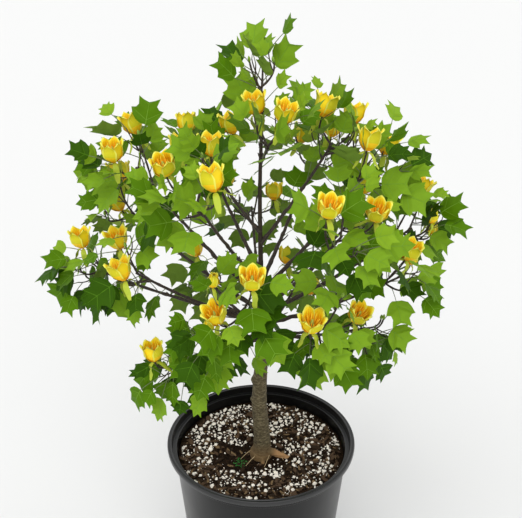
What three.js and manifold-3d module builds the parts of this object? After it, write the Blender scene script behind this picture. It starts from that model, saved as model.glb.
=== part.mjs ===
// A young tulip tree in flower, grown as a standard in a round nursery pot.
//
// Millimetres, +Z up. The origin is the centre of the pot's flat underside, +X is to the right of the
// tree's front and -Y is its front. Headings are degrees anticlockwise from +X, seen from above.
// Heights on the tree are measured from the mean level of the potting mix.
//
// The pot and its mix carry a single trunk with surface roots. Boughs leave the trunk at their forks,
// each 0.3 mm clear of it, and end where they enter a mass of foliage. A mass is one solid: a stem that
// carries on from its bough, shoots that fan out from the stem, and the leaves and flowers on the shoots.
import * as THREE from "three";
import { mergeVertices } from "three/addons/utils/BufferGeometryUtils.js";
import Module from "manifold-3d";

const wasm = await Module();
wasm.setup();

// ---------------------------------------------------------------------------------- driving sizes
const GAP = 0.3; // clear space between two solids that touch
const FACET = 0.25; // detail finer than this is smoothed away

const POT = {
  height: 300,
  rimRadius: 177.5,
  rimWidth: 8.5,
  lipHeight: 10,
  collarRadius: 168,
  collarHeight: 22, // from the rim down to the step where the plain wall starts
  wallTop: 164.5, // radius that the plain wall would have at the rim
  baseRadius: 138,
  wall: 3.5,
  floor: 5,
  ledgeDrop: 13, // the stacking ledge inside, below the rim
  ledgeWidth: 4,
  sides: 32,
  drains: { count: 8, width: 30, height: 15 },
};
// The mix's mean level, and how far it rises to the wall and dips to the trunk.
const MIX = { level: 260, rise: 8, dip: 6, dishRadius: 68, slopeRadius: 109 };

const TRUNK = {
  height: 680, // to the tip of the leader
  footRadius: 17.5,
  tipRadius: 2.6,
  forkHeight: 290, // where the boughs take most of the wood
  forkRadius: 10.5,
  aboveForkRadius: 4.6,
  flare: 3.5, // added all round where the roots leave it, and gone a little way up
  flareHeight: 14,
  taper: 0.7, // below 1 it narrows most at the foot
  narrowing: 9, // how soon it is down to aboveForkRadius over the fork
  bow: 3, // how far it wanders from the plumb line
  sides: 10,
  steps: 12,
};
const ROOTS = [
  // surface roots that run out of the flare: heading, length from the trunk's middle, thickness at the trunk
  { heading: -5, length: 62, radius: 9.5 },
  { heading: 78, length: 38, radius: 6 },
  { heading: 155, length: 34, radius: 6 },
  { heading: -98, length: 34, radius: 8.5 },
];
const ROOT_TIP = 2.5; // a root's radius where it goes into the mix

const HEART = 400; // height of the crown's middle, which the foliage faces away from
const BOUGH = { footRadius: 5.2, tipRadius: 2.6, enters: 0.66, sag: 0.07, sides: 5, steps: 3 };
const TWIG = { sides: 3, steps: 2, stemRadius: 2.5, shootRadius: 2.1, tipRadius: 2 };
const FLOWER = { height: 43, rimRadius: 20, bellyRadius: 17, lean: 0.35, sides: 12 };
const LEAF = {
  longest: 72,
  shortest: 54,
  young: 38, // the shortest that the first leaf on a twig can be
  thickness: 1.6,
  petioleLong: 44,
  petioleShort: 24,
  petioleRadius: 0.75,
  halfWidth: 0.52, // as a share of its length, like reach: how far the blade goes from its middle
  reach: 0.62,
  pointed: 0.35, // share of the leaves whose end is pointed
};
const CLEARANCE = 1.6; // least distance between one leaf and whatever is next to it
const ROOM = 150; // a mass of foliage ends this far from its hub
const MARCH = 25; // a leaf may be this much nearer to another mass's hub than to its own
// A stem ends short of its hub, this far in and this far down, so that its shoots can turn up.
const STEM_END = { inward: 26, down: 34 };
// A leaf stalk's way: its own angle round the shoot, plus shares along the shoot, out of the crown and up.
const STALK_WAY = { along: 0.35, outward: 0.45, up: 0.25 };
// A blade goes on from its stalk, outward and down, less down the higher it grows.
const BLADE_WAY = { outward: 0.3, down: 0.75, rise: 0.85 };
// What a blade's upper face turns to: the open side of the crown, up, and out of the crown.
const BLADE_FACE = { open: 0.5, up: 0.5, outward: 0.6, sway: 0.7 };
const GOLDEN_ANGLE = 137.5; // between one leaf and the next round a shoot
const RETRY = { angle: 43, times: 8 }; // how far round, and how often, a leaf that doesn't fit is tried again

// Half of each leaf outline, from the stalk to the midline, as shares of the leaf's length:
// how far to the side, and how far along. The blade has two side lobes and a notched or pointed end.
const NOTCHED = [[0.52, 0.3], [0.29, 0.52], [0.36, 1.0], [0, 0.77]];
const POINTED = [[0.52, 0.32], [0.3, 0.5], [0.4, 0.82], [0, 1.02]];

// The masses of foliage. heading, reach and height place the hub that its shoots fan out round. fork is
// the height at which its bough leaves the trunk, and null where its stem grows on from the trunk's tip.
// The shoots end spread mm from the hub, the first at turn degrees from level, and blooms of them flower.
const MASSES = [
  // name, heading, reach, height, fork, shoots, blooms, spread, turn
  ["leader_tip", -100, 14, 760, null, 3, 0, 20, 95],
  ["crown_top", -76, 56, 681, 580, 4, 2, 28, 134],
  ["upper_left", -173, 85, 627, 460, 3, 3, 50, 4],
  ["upper_right", 0, 124, 668, 440, 4, 2, 38, 133],
  ["left_shoulder", -172, 216, 632, 335, 4, 2, 38, 150],
  ["right_shoulder", -5, 185, 621, 350, 4, 2, 50, 152],
  ["front_upper_left", -120, 202, 620, 370, 4, 2, 42, 176],
  ["front_upper_right", -46, 194, 552, 318, 4, 2, 46, 161],
  ["left_far", 180, 305, 426, 300, 4, 1, 26, 90],
  ["left_front", -163, 237, 452, 288, 4, 2, 36, 160],
  ["left_low", -149, 193, 276, 262, 3, 1, 24, 90],
  ["front_low", -102, 194, 436, 280, 4, 2, 40, -133],
  ["front_right_low", -51, 185, 376, 270, 4, 2, 54, 168],
  ["front_left_low", -122, 168, 350, 268, 3, 0, 30, 60],
  ["right_bottom", -16, 208, 330, 262, 3, 0, 30, 120],
  ["right_far", 3, 279, 504, 308, 4, 1, 36, 90],
  ["right_low", -14, 252, 436, 287, 3, 1, 28, 120],
  ["back_upper_left", 128, 175, 610, 385, 4, 1, 44, 30],
  ["back_upper_right", 55, 175, 600, 367, 4, 2, 46, 150],
  ["back_left", 166, 255, 520, 312, 4, 2, 46, 60],
  ["back", 95, 235, 470, 295, 4, 2, 50, 20],
  ["back_right", 38, 235, 470, 322, 4, 2, 46, 120],
  ["back_low_left", 128, 190, 335, 272, 3, 1, 36, 80],
  ["back_low_right", 62, 190, 330, 265, 3, 2, 44, 10],
].map(([name, heading, reach, height, fork, shoots, blooms, spread, turn]) => {
  return { name, heading, reach, height, fork, shoots, blooms, spread, turn };
});
// Leaves on a shoot that flowers, on one that doesn't, and on the stem that carries them.
const LEAVES_ON = { bloom: 4, leafy: 4, stem: 2 };
const SEED = 148;

// --------------------------------------------------------------------------------------- helpers
const UP = new THREE.Vector3(0, 0, 1);
const rad = THREE.MathUtils.degToRad;
const vec = (x, y, z) => new THREE.Vector3(x, y, z);
const mix = THREE.MathUtils.lerp;
const compass = (heading) => vec(Math.cos(rad(heading)), Math.sin(rad(heading)), 0);

// Numbers from 0 to 1 that come out the same wherever the same seed is used.
function dice(seed) {
  let state = seed >>> 0;
  return () => {
    state = (Math.imul(state, 1664525) + 1013904223) >>> 0;
    return state / 4294967296;
  };
}

function solid(geometry) {
  geometry.deleteAttribute("normal");
  geometry.deleteAttribute("uv");
  const merged = mergeVertices(geometry, 1e-4);
  return new wasm.Manifold(
    new wasm.Mesh({
      numProp: 3,
      vertProperties: new Float32Array(merged.attributes.position.array),
      triVerts: new Uint32Array(merged.index.array),
    }),
  );
}

// Joins solids into one, drops facets finer than FACET and leaves out loose scraps.
function fuse(solids) {
  const bodies = wasm.Manifold.union(solids).asOriginal().simplify(FACET).decompose();
  return bodies.reduce((best, body) => (body.volume() > best.volume() ? body : best));
}

function geometryOf(manifold) {
  const mesh = manifold.getMesh();
  const geometry = new THREE.BufferGeometry();
  geometry.setAttribute("position", new THREE.BufferAttribute(new Float32Array(mesh.vertProperties), 3));
  geometry.setIndex(new THREE.BufferAttribute(new Uint32Array(mesh.triVerts), 1));
  geometry.computeVertexNormals();
  return geometry;
}

const tree = new THREE.Group();

function node(name, geometry, material) {
  const mesh = new THREE.Mesh(geometry, material);
  mesh.name = name;
  tree.add(mesh);
}

// A cylinder bent along a curve, with its radius given by how far along it is.
function limb(curve, radiusAt, sides, steps) {
  const geometry = new THREE.CylinderGeometry(1, 1, 1, sides, steps);
  const frames = curve.computeFrenetFrames(steps, false);
  const position = geometry.attributes.position;
  for (let i = 0; i < position.count; i++) {
    const ring = Math.round((position.getY(i) + 0.5) * steps);
    const radius = radiusAt(ring / steps);
    const point = curve
      .getPointAt(ring / steps)
      .addScaledVector(frames.normals[ring], position.getX(i) * radius)
      .addScaledVector(frames.binormals[ring], -position.getZ(i) * radius);
    position.setXYZ(i, point.x, point.y, point.z);
  }
  return geometry;
}

// --------------------------------------------------------------------------------- pot and mix
// Injection-moulded: a rolled rim over a collar, a tapering wall, a stacking ledge inside and drain
// slots at the foot.
const wallRadius = (z) => mix(POT.baseRadius, POT.wallTop, z / POT.height);
const lathe = (profile) => {
  const outline = profile.map(([r, z]) => new THREE.Vector2(r, z));
  return solid(new THREE.LatheGeometry(outline, POT.sides).rotateX(Math.PI / 2));
};

function potSolid() {
  const { height, rimRadius, rimWidth, collarRadius, collarHeight, lipHeight, floor, drains } = POT;
  const inner = (z) => wallRadius(z) - POT.wall;
  const ledge = height - POT.ledgeDrop;
  let pot = lathe([
    [0, 0],
    [POT.baseRadius, 0],
    [wallRadius(height - collarHeight), height - collarHeight],
    [collarRadius, height - collarHeight],
    [collarRadius, height - lipHeight],
    [rimRadius, height - lipHeight],
    [rimRadius, height],
    [rimRadius - rimWidth, height],
    [inner(ledge) + POT.ledgeWidth, ledge],
    [inner(ledge), ledge],
    [inner(floor), floor],
    [0, floor],
  ]);
  for (let i = 0; i < drains.count; i++) {
    const slot = new THREE.BoxGeometry(40, drains.width, drains.height * 2);
    slot.translate(POT.baseRadius, 0, 0).rotateZ(rad((360 * (i + 0.5)) / drains.count));
    pot = pot.subtract(solid(slot));
  }
  return pot;
}

function mixSolid() {
  const inner = (z) => wallRadius(z) - POT.wall - 1.5 * GAP;
  const foot = POT.floor + GAP;
  const edge = MIX.level + MIX.rise;
  return lathe([
    [0, foot],
    [inner(foot), foot],
    [inner(edge), edge],
    [MIX.slopeRadius, MIX.level + MIX.rise / 2],
    [MIX.dishRadius, MIX.level - MIX.dip - GAP],
    [0, MIX.level - MIX.dip - GAP],
  ]);
}

// ---------------------------------------------------------------------------------------- trunk
const GROUND = MIX.level - MIX.dip;
const trunkTop = MIX.level + TRUNK.height;
const trunkCurve = new THREE.CatmullRomCurve3(
  [0, 0.06, 0.2, 0.38, 0.6, 0.8, 1].map((share, i) =>
    vec(TRUNK.bow * Math.sin(i * 2.4), TRUNK.bow * Math.cos(i * 1.7), mix(GROUND, trunkTop, share)),
  ),
);

function trunkRadius(share) {
  const height = share * TRUNK.height;
  const flare = TRUNK.flare * Math.exp(-height / TRUNK.flareHeight);
  if (height < TRUNK.forkHeight) {
    return mix(TRUNK.footRadius, TRUNK.forkRadius, (height / TRUNK.forkHeight) ** TRUNK.taper) + flare;
  }
  const above = (height - TRUNK.forkHeight) / (TRUNK.height - TRUNK.forkHeight);
  const shoulder = (TRUNK.forkRadius - TRUNK.aboveForkRadius) * Math.exp(-above * TRUNK.narrowing);
  return mix(TRUNK.aboveForkRadius, TRUNK.tipRadius, above) + shoulder;
}

// The trunk with extra mm of wood all round, so that limbs can be cut back to stand clear of it.
function trunkSolid(extra) {
  const stem = limb(trunkCurve, (share) => trunkRadius(share) + extra, TRUNK.sides, TRUNK.steps);
  const roots = ROOTS.map(({ heading, length, radius }) => {
    const way = compass(heading);
    const curve = new THREE.QuadraticBezierCurve3(
      vec(0, 0, GROUND + 2 * radius),
      vec(0, 0, GROUND + radius).addScaledVector(way, length * 0.4),
      vec(0, 0, GROUND - ROOT_TIP / 2).addScaledVector(way, length),
    );
    return solid(limb(curve, (share) => mix(radius, ROOT_TIP, share) + extra, 6, 5));
  });
  const ground = new THREE.BoxGeometry(400, 400, 100);
  ground.translate(0, 0, GROUND - 50);
  return fuse([solid(stem), ...roots]).subtract(solid(ground));
}

// ----------------------------------------------------------------------------- how the crown grows
// hub: the middle of the mass. out: the way it faces. The limb's curve runs from the fork to the hub.
function plan(mass) {
  const hub = compass(mass.heading).multiplyScalar(mass.reach).setZ(MIX.level + mass.height);
  const out = hub.clone().sub(vec(0, 0, MIX.level + HEART)).normalize();
  const level = UP.clone().cross(out).normalize();
  const across = out.clone().cross(level);
  const inset = hub.clone().addScaledVector(out, -STEM_END.inward).addScaledVector(UP, -STEM_END.down);
  const share = mass.fork === null ? 1 : mass.fork / TRUNK.height;
  const foot = trunkCurve.getPointAt(share);
  const reach = inset.distanceTo(foot);
  const knee = foot.clone().lerp(inset, 0.5).addScaledVector(UP, -BOUGH.sag * reach);
  if (mass.fork === null) knee.copy(foot).addScaledVector(trunkCurve.getTangentAt(share), 0.4 * reach);
  const curve = new THREE.QuadraticBezierCurve3(foot, knee, inset);
  return { ...mass, hub, out, level, across, curve, enters: mass.fork === null ? 0 : BOUGH.enters };
}

// The part of a mass's limb from one share of its length to another.
function stretch(curve, from, to) {
  const inner = Array.from({ length: 9 }, (_, i) => curve.getPointAt(mix(from, to, i / 8)));
  return new THREE.CatmullRomCurve3(inner);
}

// Each shoot leaves the stem near the hub and turns up to its flower or end bud.
function shootsOf(mass, roll) {
  const shoots = [];
  for (let i = 0; i < mass.shoots; i++) {
    const angle = rad(mass.turn + (360 * i) / mass.shoots);
    const blooms = (i * mass.blooms) % mass.shoots < mass.blooms;
    const tip = mass.hub
      .clone()
      .addScaledVector(mass.level, Math.cos(angle) * mass.spread)
      .addScaledVector(mass.across, Math.sin(angle) * mass.spread);
    const lean = mass.out.clone().setZ(0).multiplyScalar(FLOWER.lean);
    const axis = vec((roll() - 0.5) * 0.5, (roll() - 0.5) * 0.5, 1).add(lean).normalize();
    const end = tip.clone().addScaledVector(axis, -FLOWER.height / 2);
    const foot = mass.curve.getPointAt(mix(mass.enters, 1, 0.45 + (0.5 * (i + 1)) / mass.shoots));
    const knee = end.clone().addScaledVector(axis, -0.45 * end.distanceTo(foot));
    shoots.push({ blooms, axis, end, curve: new THREE.QuadraticBezierCurve3(foot, knee, end) });
  }
  return shoots;
}

// What is in the way of a leaf: other blades, straight runs of wood or leaf stalk, and flowers.
const blades = [];
const runs = [];
const cups = [];

function addRuns(curve, radius, owner, pieces) {
  for (let i = 0; i < pieces; i++) {
    runs.push({ a: curve.getPointAt(i / pieces), b: curve.getPointAt((i + 1) / pieces), radius, owner });
  }
}

function bladeAt(base, forward, normal, length, outline) {
  const side = forward.clone().cross(normal);
  const at = ([x, y]) => base.clone().addScaledVector(side, x * length).addScaledVector(forward, y * length);
  const right = [[0.03, 0], ...outline];
  const left = right.slice(0, -1).reverse().map(([x, y]) => [-x, y]);
  return {
    base,
    forward,
    normal,
    length,
    ring: [...right, ...left].map(at),
    centre: at([0, 0.5]),
  };
}

// The span of a flat outline that lies on another plane, measured along the line where the planes cross.
function span(ring, normal, centre, line) {
  let low = Infinity;
  let high = -Infinity;
  const note = (point) => {
    const place = point.dot(line);
    low = Math.min(low, place);
    high = Math.max(high, place);
  };
  const off = ring.map((point) => point.clone().sub(centre).dot(normal));
  ring.forEach((point, i) => {
    const j = (i + 1) % ring.length;
    if (Math.abs(off[i]) < CLEARANCE) note(point);
    if (off[i] * off[j] < 0) note(point.clone().lerp(ring[j], off[i] / (off[i] - off[j])));
  });
  return [low, high];
}

function bladesMeet(p, q) {
  if (p.centre.distanceTo(q.centre) > LEAF.reach * (p.length + q.length)) return false;
  const line = p.normal.clone().cross(q.normal);
  if (line.length() < 0.1) return Math.abs(q.centre.clone().sub(p.centre).dot(p.normal)) < 3 * CLEARANCE;
  line.normalize();
  const [lowP, highP] = span(p.ring, q.normal, q.centre, line);
  const [lowQ, highQ] = span(q.ring, p.normal, p.centre, line);
  return Math.max(lowP, lowQ) < Math.min(highP, highQ) + CLEARANCE;
}

// The stretch of a run that lies close to the blade's plane must pass clear of the blade's round.
function bladeMeetsRun(blade, { a, b, radius }) {
  const margin = radius + CLEARANCE;
  const offA = a.clone().sub(blade.centre).dot(blade.normal);
  const offB = b.clone().sub(blade.centre).dot(blade.normal);
  if (Math.min(offA, offB) > margin || Math.max(offA, offB) < -margin) return false;
  const shareOf = (off) => THREE.MathUtils.clamp((off - offA) / (offB - offA || 1), 0, 1);
  const near = new THREE.Line3(a.clone().lerp(b, shareOf(-margin)), a.clone().lerp(b, shareOf(margin)));
  const closest = near.closestPointToPoint(blade.centre, true, vec(0, 0, 0));
  return closest.distanceTo(blade.centre) < LEAF.halfWidth * blade.length + margin;
}

function bladeMeetsCup(blade, { centre, radius }) {
  const toCup = centre.clone().sub(blade.centre);
  const off = toCup.dot(blade.normal);
  if (Math.abs(off) > radius + CLEARANCE) return false;
  const across = Math.sqrt(Math.max(0, toCup.lengthSq() - off * off));
  return across < LEAF.halfWidth * blade.length + 0.8 * Math.sqrt(Math.max(0, radius * radius - off * off));
}

function runsMeet(p, q) {
  const gap = Math.sqrt(new THREE.Line3(p.a, p.b).distanceSqToLine3(new THREE.Line3(q.a, q.b)));
  return gap < p.radius + q.radius + CLEARANCE;
}

function fits(leaf, mass, masses) {
  const { blade, stalk } = leaf;
  const own = blade.centre.distanceTo(mass.hub);
  if (own > ROOM) return false;
  if (masses.some((other) => blade.centre.distanceTo(other.hub) < own - MARCH)) return false;
  if (runs.some((run) => bladeMeetsRun(blade, run))) return false;
  if (runs.some((run) => run.owner !== mass.name && runsMeet(stalk, run))) return false;
  if (blades.some((other) => bladesMeet(blade, other) || bladeMeetsRun(other, stalk))) return false;
  return !cups.some((cup) => bladeMeetsCup(blade, cup));
}

// A leaf that leaves a shoot at share, at angle round it. Stalks reach outward, blades hang more the
// lower they are, and the upper face turns to the light.
function leafAt(curve, share, angle, mass, size) {
  const root = curve.getPointAt(share);
  const along = curve.getTangentAt(share);
  const any = Math.abs(along.z) < 0.9 ? UP : vec(1, 0, 0);
  const sideways = along.clone().cross(any).normalize().applyAxisAngle(along, angle);
  const high = (root.z - MIX.level - HEART) / 350;
  const away = root.clone().sub(vec(0, 0, MIX.level + HEART)).normalize();
  const way = sideways
    .addScaledVector(along, STALK_WAY.along)
    .addScaledVector(away, STALK_WAY.outward)
    .addScaledVector(UP, STALK_WAY.up * high)
    .normalize();
  const base = root.clone().addScaledVector(way, size.stalk);
  const forward = way
    .clone()
    .addScaledVector(away, BLADE_WAY.outward)
    .addScaledVector(UP, BLADE_WAY.rise * high - BLADE_WAY.down)
    .normalize();
  const front = root.y < 60 ? -1 : 1;
  const light = vec(size.sway, BLADE_FACE.open * front, BLADE_FACE.up + size.sway)
    .addScaledVector(away, BLADE_FACE.outward)
    .normalize();
  const normal = light.addScaledVector(forward, -light.dot(forward)).normalize();
  const outline = size.pointed ? POINTED : NOTCHED;
  const blade = bladeAt(base, forward, normal, size.length, outline);
  return { blade, stalk: { a: root, b: base, radius: LEAF.petioleRadius, owner: mass.name } };
}

// Leaves round a shoot, a golden angle apart. One that doesn't fit is tried a little further round.
function dressWithLeaves(curve, count, from, to, mass, masses, roll) {
  const turnStart = roll() * 2 * Math.PI;
  const leaves = [];
  for (let k = 0; k < count; k++) {
    const young = k === 0;
    const size = {
      length: young ? mix(LEAF.young, LEAF.shortest, roll()) : mix(LEAF.shortest, LEAF.longest, roll()),
      stalk: mix(LEAF.petioleShort, LEAF.petioleLong, roll()),
      sway: (roll() - 0.5) * BLADE_FACE.sway,
      pointed: roll() < LEAF.pointed,
    };
    const share = mix(to, from, count > 1 ? k / (count - 1) : 0);
    for (let attempt = 0; attempt < RETRY.times; attempt++) {
      const angle = turnStart + rad(GOLDEN_ANGLE) * k + rad(RETRY.angle) * attempt;
      const leaf = leafAt(curve, share, angle, mass, size);
      if (!fits(leaf, mass, masses)) continue;
      blades.push(leaf.blade);
      runs.push(leaf.stalk);
      leaves.push(leaf);
      break;
    }
  }
  return leaves;
}

// -------------------------------------------------------------------------- solids of the foliage
// A blade with its stalk as one closed solid: thickest where the veins meet at the stalk, thin at the edge.
function leafSolid({ blade, stalk }) {
  const { base, forward, normal, length, ring } = blade;
  const n = ring.length;
  const way = stalk.b.clone().sub(stalk.a).normalize();
  const across = way.clone().cross(normal).normalize();
  const below = way.clone().cross(across);
  const root = [across.clone(), across.clone().negate(), below.multiplyScalar(1.5)].map((offset) =>
    stalk.a.clone().addScaledVector(way, -0.3).addScaledVector(offset, stalk.radius),
  );
  const vein = base.clone().addScaledVector(forward, 0.03 * length);
  const top = vein.clone().addScaledVector(normal, LEAF.thickness / 2);
  const under = vein.clone().addScaledVector(normal, -LEAF.thickness / 2);
  const [r, l, k, t, u] = [n, n + 1, n + 2, n + 3, n + 4];
  const faces = [r, l, k, r, t, l, r, 0, t, l, t, n - 1, r, k, 0, k, u, 0, k, n - 1, u, l, n - 1, k];
  for (let i = 0; i < n - 1; i++) faces.push(t, i, i + 1, u, i + 1, i);
  const geometry = new THREE.BufferGeometry().setFromPoints([...ring, ...root, top, under]);
  geometry.setIndex(faces);
  return solid(geometry);
}

// A cup of six petals whose rim rises to their tips, hollow from above.
function flowerSolid(end, axis) {
  const { height, rimRadius, bellyRadius, sides } = FLOWER;
  const profile = [[0, -2], [bellyRadius, height * 0.32], [rimRadius, height], [0, height * 0.4]];
  const cup = new THREE.LatheGeometry(
    profile.map(([r, z]) => new THREE.Vector2(r, z)),
    sides,
  );
  const position = cup.attributes.position;
  for (let i = 0; i < position.count; i++) {
    const sinus = Math.floor(i / profile.length) % 2 === 1;
    if (sinus && i % profile.length === 2) position.setY(i, height * 0.72);
  }
  const turn = new THREE.Quaternion().setFromUnitVectors(vec(0, 1, 0), axis);
  return solid(cup.applyQuaternion(turn).translate(end.x, end.y, end.z));
}

function stemRadius(mass) {
  return mass.fork === null ? TRUNK.tipRadius : TWIG.stemRadius;
}

// ------------------------------------------------------------------------------------- assembly
const standard = (color, roughness) => new THREE.MeshStandardMaterial({ color, roughness, metalness: 0 });
const POLYETHYLENE = standard(0x232527, 0.42);
const POTTING_MIX = standard(0x4a3b2c, 0.95);
const BARK = standard(0x6a5b48, 0.9);
const YOUNG_BARK = standard(0x3b322b, 0.85);
const FOLIAGE = standard(0x5b9322, 0.55);

node("pot", geometryOf(potSolid()), POLYETHYLENE);
node("potting_mix", geometryOf(mixSolid()), POTTING_MIX);
node("trunk", geometryOf(trunkSolid(0)), BARK);

const roll = dice(SEED);
const masses = MASSES.map(plan);
const clearOfTrunk = trunkSolid(GAP);
addRuns(trunkCurve, TRUNK.forkRadius, "trunk", TRUNK.steps);

for (const mass of masses) {
  mass.stem = stretch(mass.curve, mass.enters, 1);
  mass.shootList = shootsOf(mass, roll);
  addRuns(mass.stem, TWIG.stemRadius, mass.name, 3);
  for (const { curve, blooms, end, axis } of mass.shootList) {
    addRuns(curve, TWIG.shootRadius, mass.name, 3);
    const centre = end.clone().addScaledVector(axis, FLOWER.height / 2);
    if (blooms) cups.push({ centre, radius: Math.hypot(FLOWER.height / 2, FLOWER.rimRadius) });
  }
  if (mass.fork === null) continue;
  const bough = stretch(mass.curve, 0, mass.enters);
  addRuns(bough, BOUGH.footRadius, mass.name + "_bough", 4);
  const wood = solid(
    limb(bough, (share) => mix(BOUGH.footRadius, BOUGH.tipRadius, share), BOUGH.sides, BOUGH.steps),
  );
  node(mass.name + "_bough", geometryOf(fuse([wood.subtract(clearOfTrunk)])), YOUNG_BARK);
}

for (const mass of masses) {
  const pieces = [];
  const leaves = dressWithLeaves(mass.stem, LEAVES_ON.stem, 0.35, 0.8, mass, masses, roll);
  const start = mass.enters + (1.5 * GAP) / mass.curve.getLength();
  const stem = stretch(mass.curve, start, 1);
  const stemTaper = (share) => mix(stemRadius(mass), TWIG.shootRadius, share);
  pieces.push(solid(limb(stem, stemTaper, TWIG.sides, TWIG.steps)));
  for (const shoot of mass.shootList) {
    const count = shoot.blooms ? LEAVES_ON.bloom : LEAVES_ON.leafy;
    leaves.push(...dressWithLeaves(shoot.curve, count, 0.25, 0.95, mass, masses, roll));
    const twigRadius = (share) => mix(TWIG.shootRadius, TWIG.tipRadius, share);
    pieces.push(solid(limb(shoot.curve, twigRadius, TWIG.sides, TWIG.steps)));
    if (shoot.blooms) pieces.push(flowerSolid(shoot.end, shoot.axis));
  }
  pieces.push(...leaves.map(leafSolid));
  node(mass.name + "_foliage", geometryOf(fuse(pieces)), FOLIAGE);
}

export default tree;
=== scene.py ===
# A young tulip tree in flower, grown as a standard in a round nursery pot: the pot and its mix, the
# trunk with its surface roots, the boughs, and a crown of twigs, leaves and cup-shaped blooms.
import math

import bpy
import numpy as np
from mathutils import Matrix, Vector, noise


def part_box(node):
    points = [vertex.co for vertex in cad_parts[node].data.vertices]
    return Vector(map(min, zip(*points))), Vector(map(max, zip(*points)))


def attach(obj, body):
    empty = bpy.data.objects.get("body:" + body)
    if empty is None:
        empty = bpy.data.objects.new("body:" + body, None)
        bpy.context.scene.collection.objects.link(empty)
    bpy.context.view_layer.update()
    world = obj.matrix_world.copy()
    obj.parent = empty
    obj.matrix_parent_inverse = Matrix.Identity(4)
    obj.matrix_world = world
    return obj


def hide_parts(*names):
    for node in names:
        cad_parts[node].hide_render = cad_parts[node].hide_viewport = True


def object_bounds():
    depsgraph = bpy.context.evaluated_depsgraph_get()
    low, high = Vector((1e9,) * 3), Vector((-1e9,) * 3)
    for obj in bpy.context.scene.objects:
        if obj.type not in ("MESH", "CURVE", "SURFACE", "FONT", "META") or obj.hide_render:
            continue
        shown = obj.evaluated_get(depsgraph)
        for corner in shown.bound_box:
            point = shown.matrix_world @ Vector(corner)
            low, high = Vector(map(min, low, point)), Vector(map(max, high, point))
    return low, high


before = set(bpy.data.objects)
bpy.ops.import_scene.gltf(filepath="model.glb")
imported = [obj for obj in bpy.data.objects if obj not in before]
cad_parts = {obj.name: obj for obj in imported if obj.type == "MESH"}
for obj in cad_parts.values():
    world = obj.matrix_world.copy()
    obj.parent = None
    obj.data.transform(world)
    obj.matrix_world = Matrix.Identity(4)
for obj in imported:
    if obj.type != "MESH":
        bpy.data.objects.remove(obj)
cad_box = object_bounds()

# ------------------------------------------------------------------------------- studio and camera
# A photographer's white room: a matte white floor, a broad soft key light from the front left, a fill
# from the front and two weaker ones from behind at the sides. Pale walls fill the shadows, and the
# camera looks down on the rim.
MM = 0.001  # every size below is in millimetres
CAMERA = {"back": 1125, "height": 1168, "pitch": 23.9, "lens": 50}
FLOOR_SIZE = 60000
WALLS = {"colour": "#fbfcfb", "strength": 0.8}
LAMPS = [  # the way its light falls, how wide it looks in degrees, and its strength
    ((0.45, 0.5, -1.0), 50, 0.95),
    ((-0.2, 1.0, -0.6), 60, 1.1),
    ((0.9, -0.6, -0.45), 60, 0.4),
    ((-0.9, -0.6, -0.45), 60, 0.5),
]


def colour(code):
    """An sRGB hex value as the linear colour that a shader takes."""
    shares = [int(code[i:i + 2], 16) / 255 for i in (1, 3, 5)]
    linear = [c / 12.92 if c <= 0.04045 else ((c + 0.055) / 1.055) ** 2.4 for c in shares]
    return (*linear, 1.0)


def wire(tree, node, **inputs):
    """Sets a node's inputs, named by their words or as in_ and a number. A node stands for its output."""
    for name, value in inputs.items():
        if name.startswith("in_"):
            socket = node.inputs[int(name[3:])]
        else:
            words = name.replace("_", " ")
            socket = next(item for item in node.inputs if item.enabled and item.name == words)
        if isinstance(value, bpy.types.Node):
            value = next(output for output in value.outputs if output.enabled)
        if isinstance(value, bpy.types.NodeSocket):
            tree.links.new(value, socket)
        else:
            socket.default_value = value
    return node


def add(tree, kind, settings=None, **inputs):
    """Adds a node with its settings and inputs."""
    node = tree.nodes.new(kind)
    for name, value in (settings or {}).items():
        setattr(node, name, value)
    return wire(tree, node, **inputs)


def surface(name, code, roughness, ior, specular=0.5):
    """A material with one Principled shader. Returns the material, its node tree and the shader."""
    material = bpy.data.materials.new(name)
    material.use_nodes = True
    tree = material.node_tree
    shader = tree.nodes["Principled BSDF"]
    wire(tree, shader, Base_Color=colour(code), Roughness=roughness, IOR=ior, Specular_IOR_Level=specular)
    return material, tree, shader


def in_scene(name, data):
    """A new object in the scene with this mesh, lamp or camera."""
    made = bpy.data.objects.new(name, data)
    bpy.context.scene.collection.objects.link(made)
    return made


# White card: chalky and even, with no gloss.
matte_board, _, _ = surface("matte_board", "#dedede", 0.9, 1.45)
half = FLOOR_SIZE / 2 * MM
floor_mesh = bpy.data.meshes.new("floor")
floor_corners = [(-half, -half, 0), (half, -half, 0), (half, half, 0), (-half, half, 0)]
floor_mesh.from_pydata(floor_corners, [], [(0, 1, 2, 3)])
floor_mesh.materials.append(matte_board)
floor = in_scene("floor", floor_mesh)

world = bpy.data.worlds.new("pale_walls")
world.use_nodes = True
walls = world.node_tree.nodes["Background"]
wire(world.node_tree, walls, Color=colour(WALLS["colour"]), Strength=WALLS["strength"])
bpy.context.scene.world = world
bpy.context.scene.view_settings.view_transform = "Standard"

for falls, width, strength in LAMPS:
    lamp = bpy.data.lights.new("softbox", "SUN")
    lamp.angle = math.radians(width)
    lamp.energy = strength
    in_scene("softbox", lamp).rotation_euler = Vector(falls).to_track_quat("-Z", "Y").to_euler()

view = bpy.data.cameras.new("camera")
view.lens = CAMERA["lens"]
view.sensor_width = 36
view.clip_end = 100
camera = in_scene("camera", view)
camera.location = (0, -CAMERA["back"] * MM, CAMERA["height"] * MM)
camera.rotation_euler = (math.radians(90 - CAMERA["pitch"]), 0, 0)
bpy.context.scene.camera = camera

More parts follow.
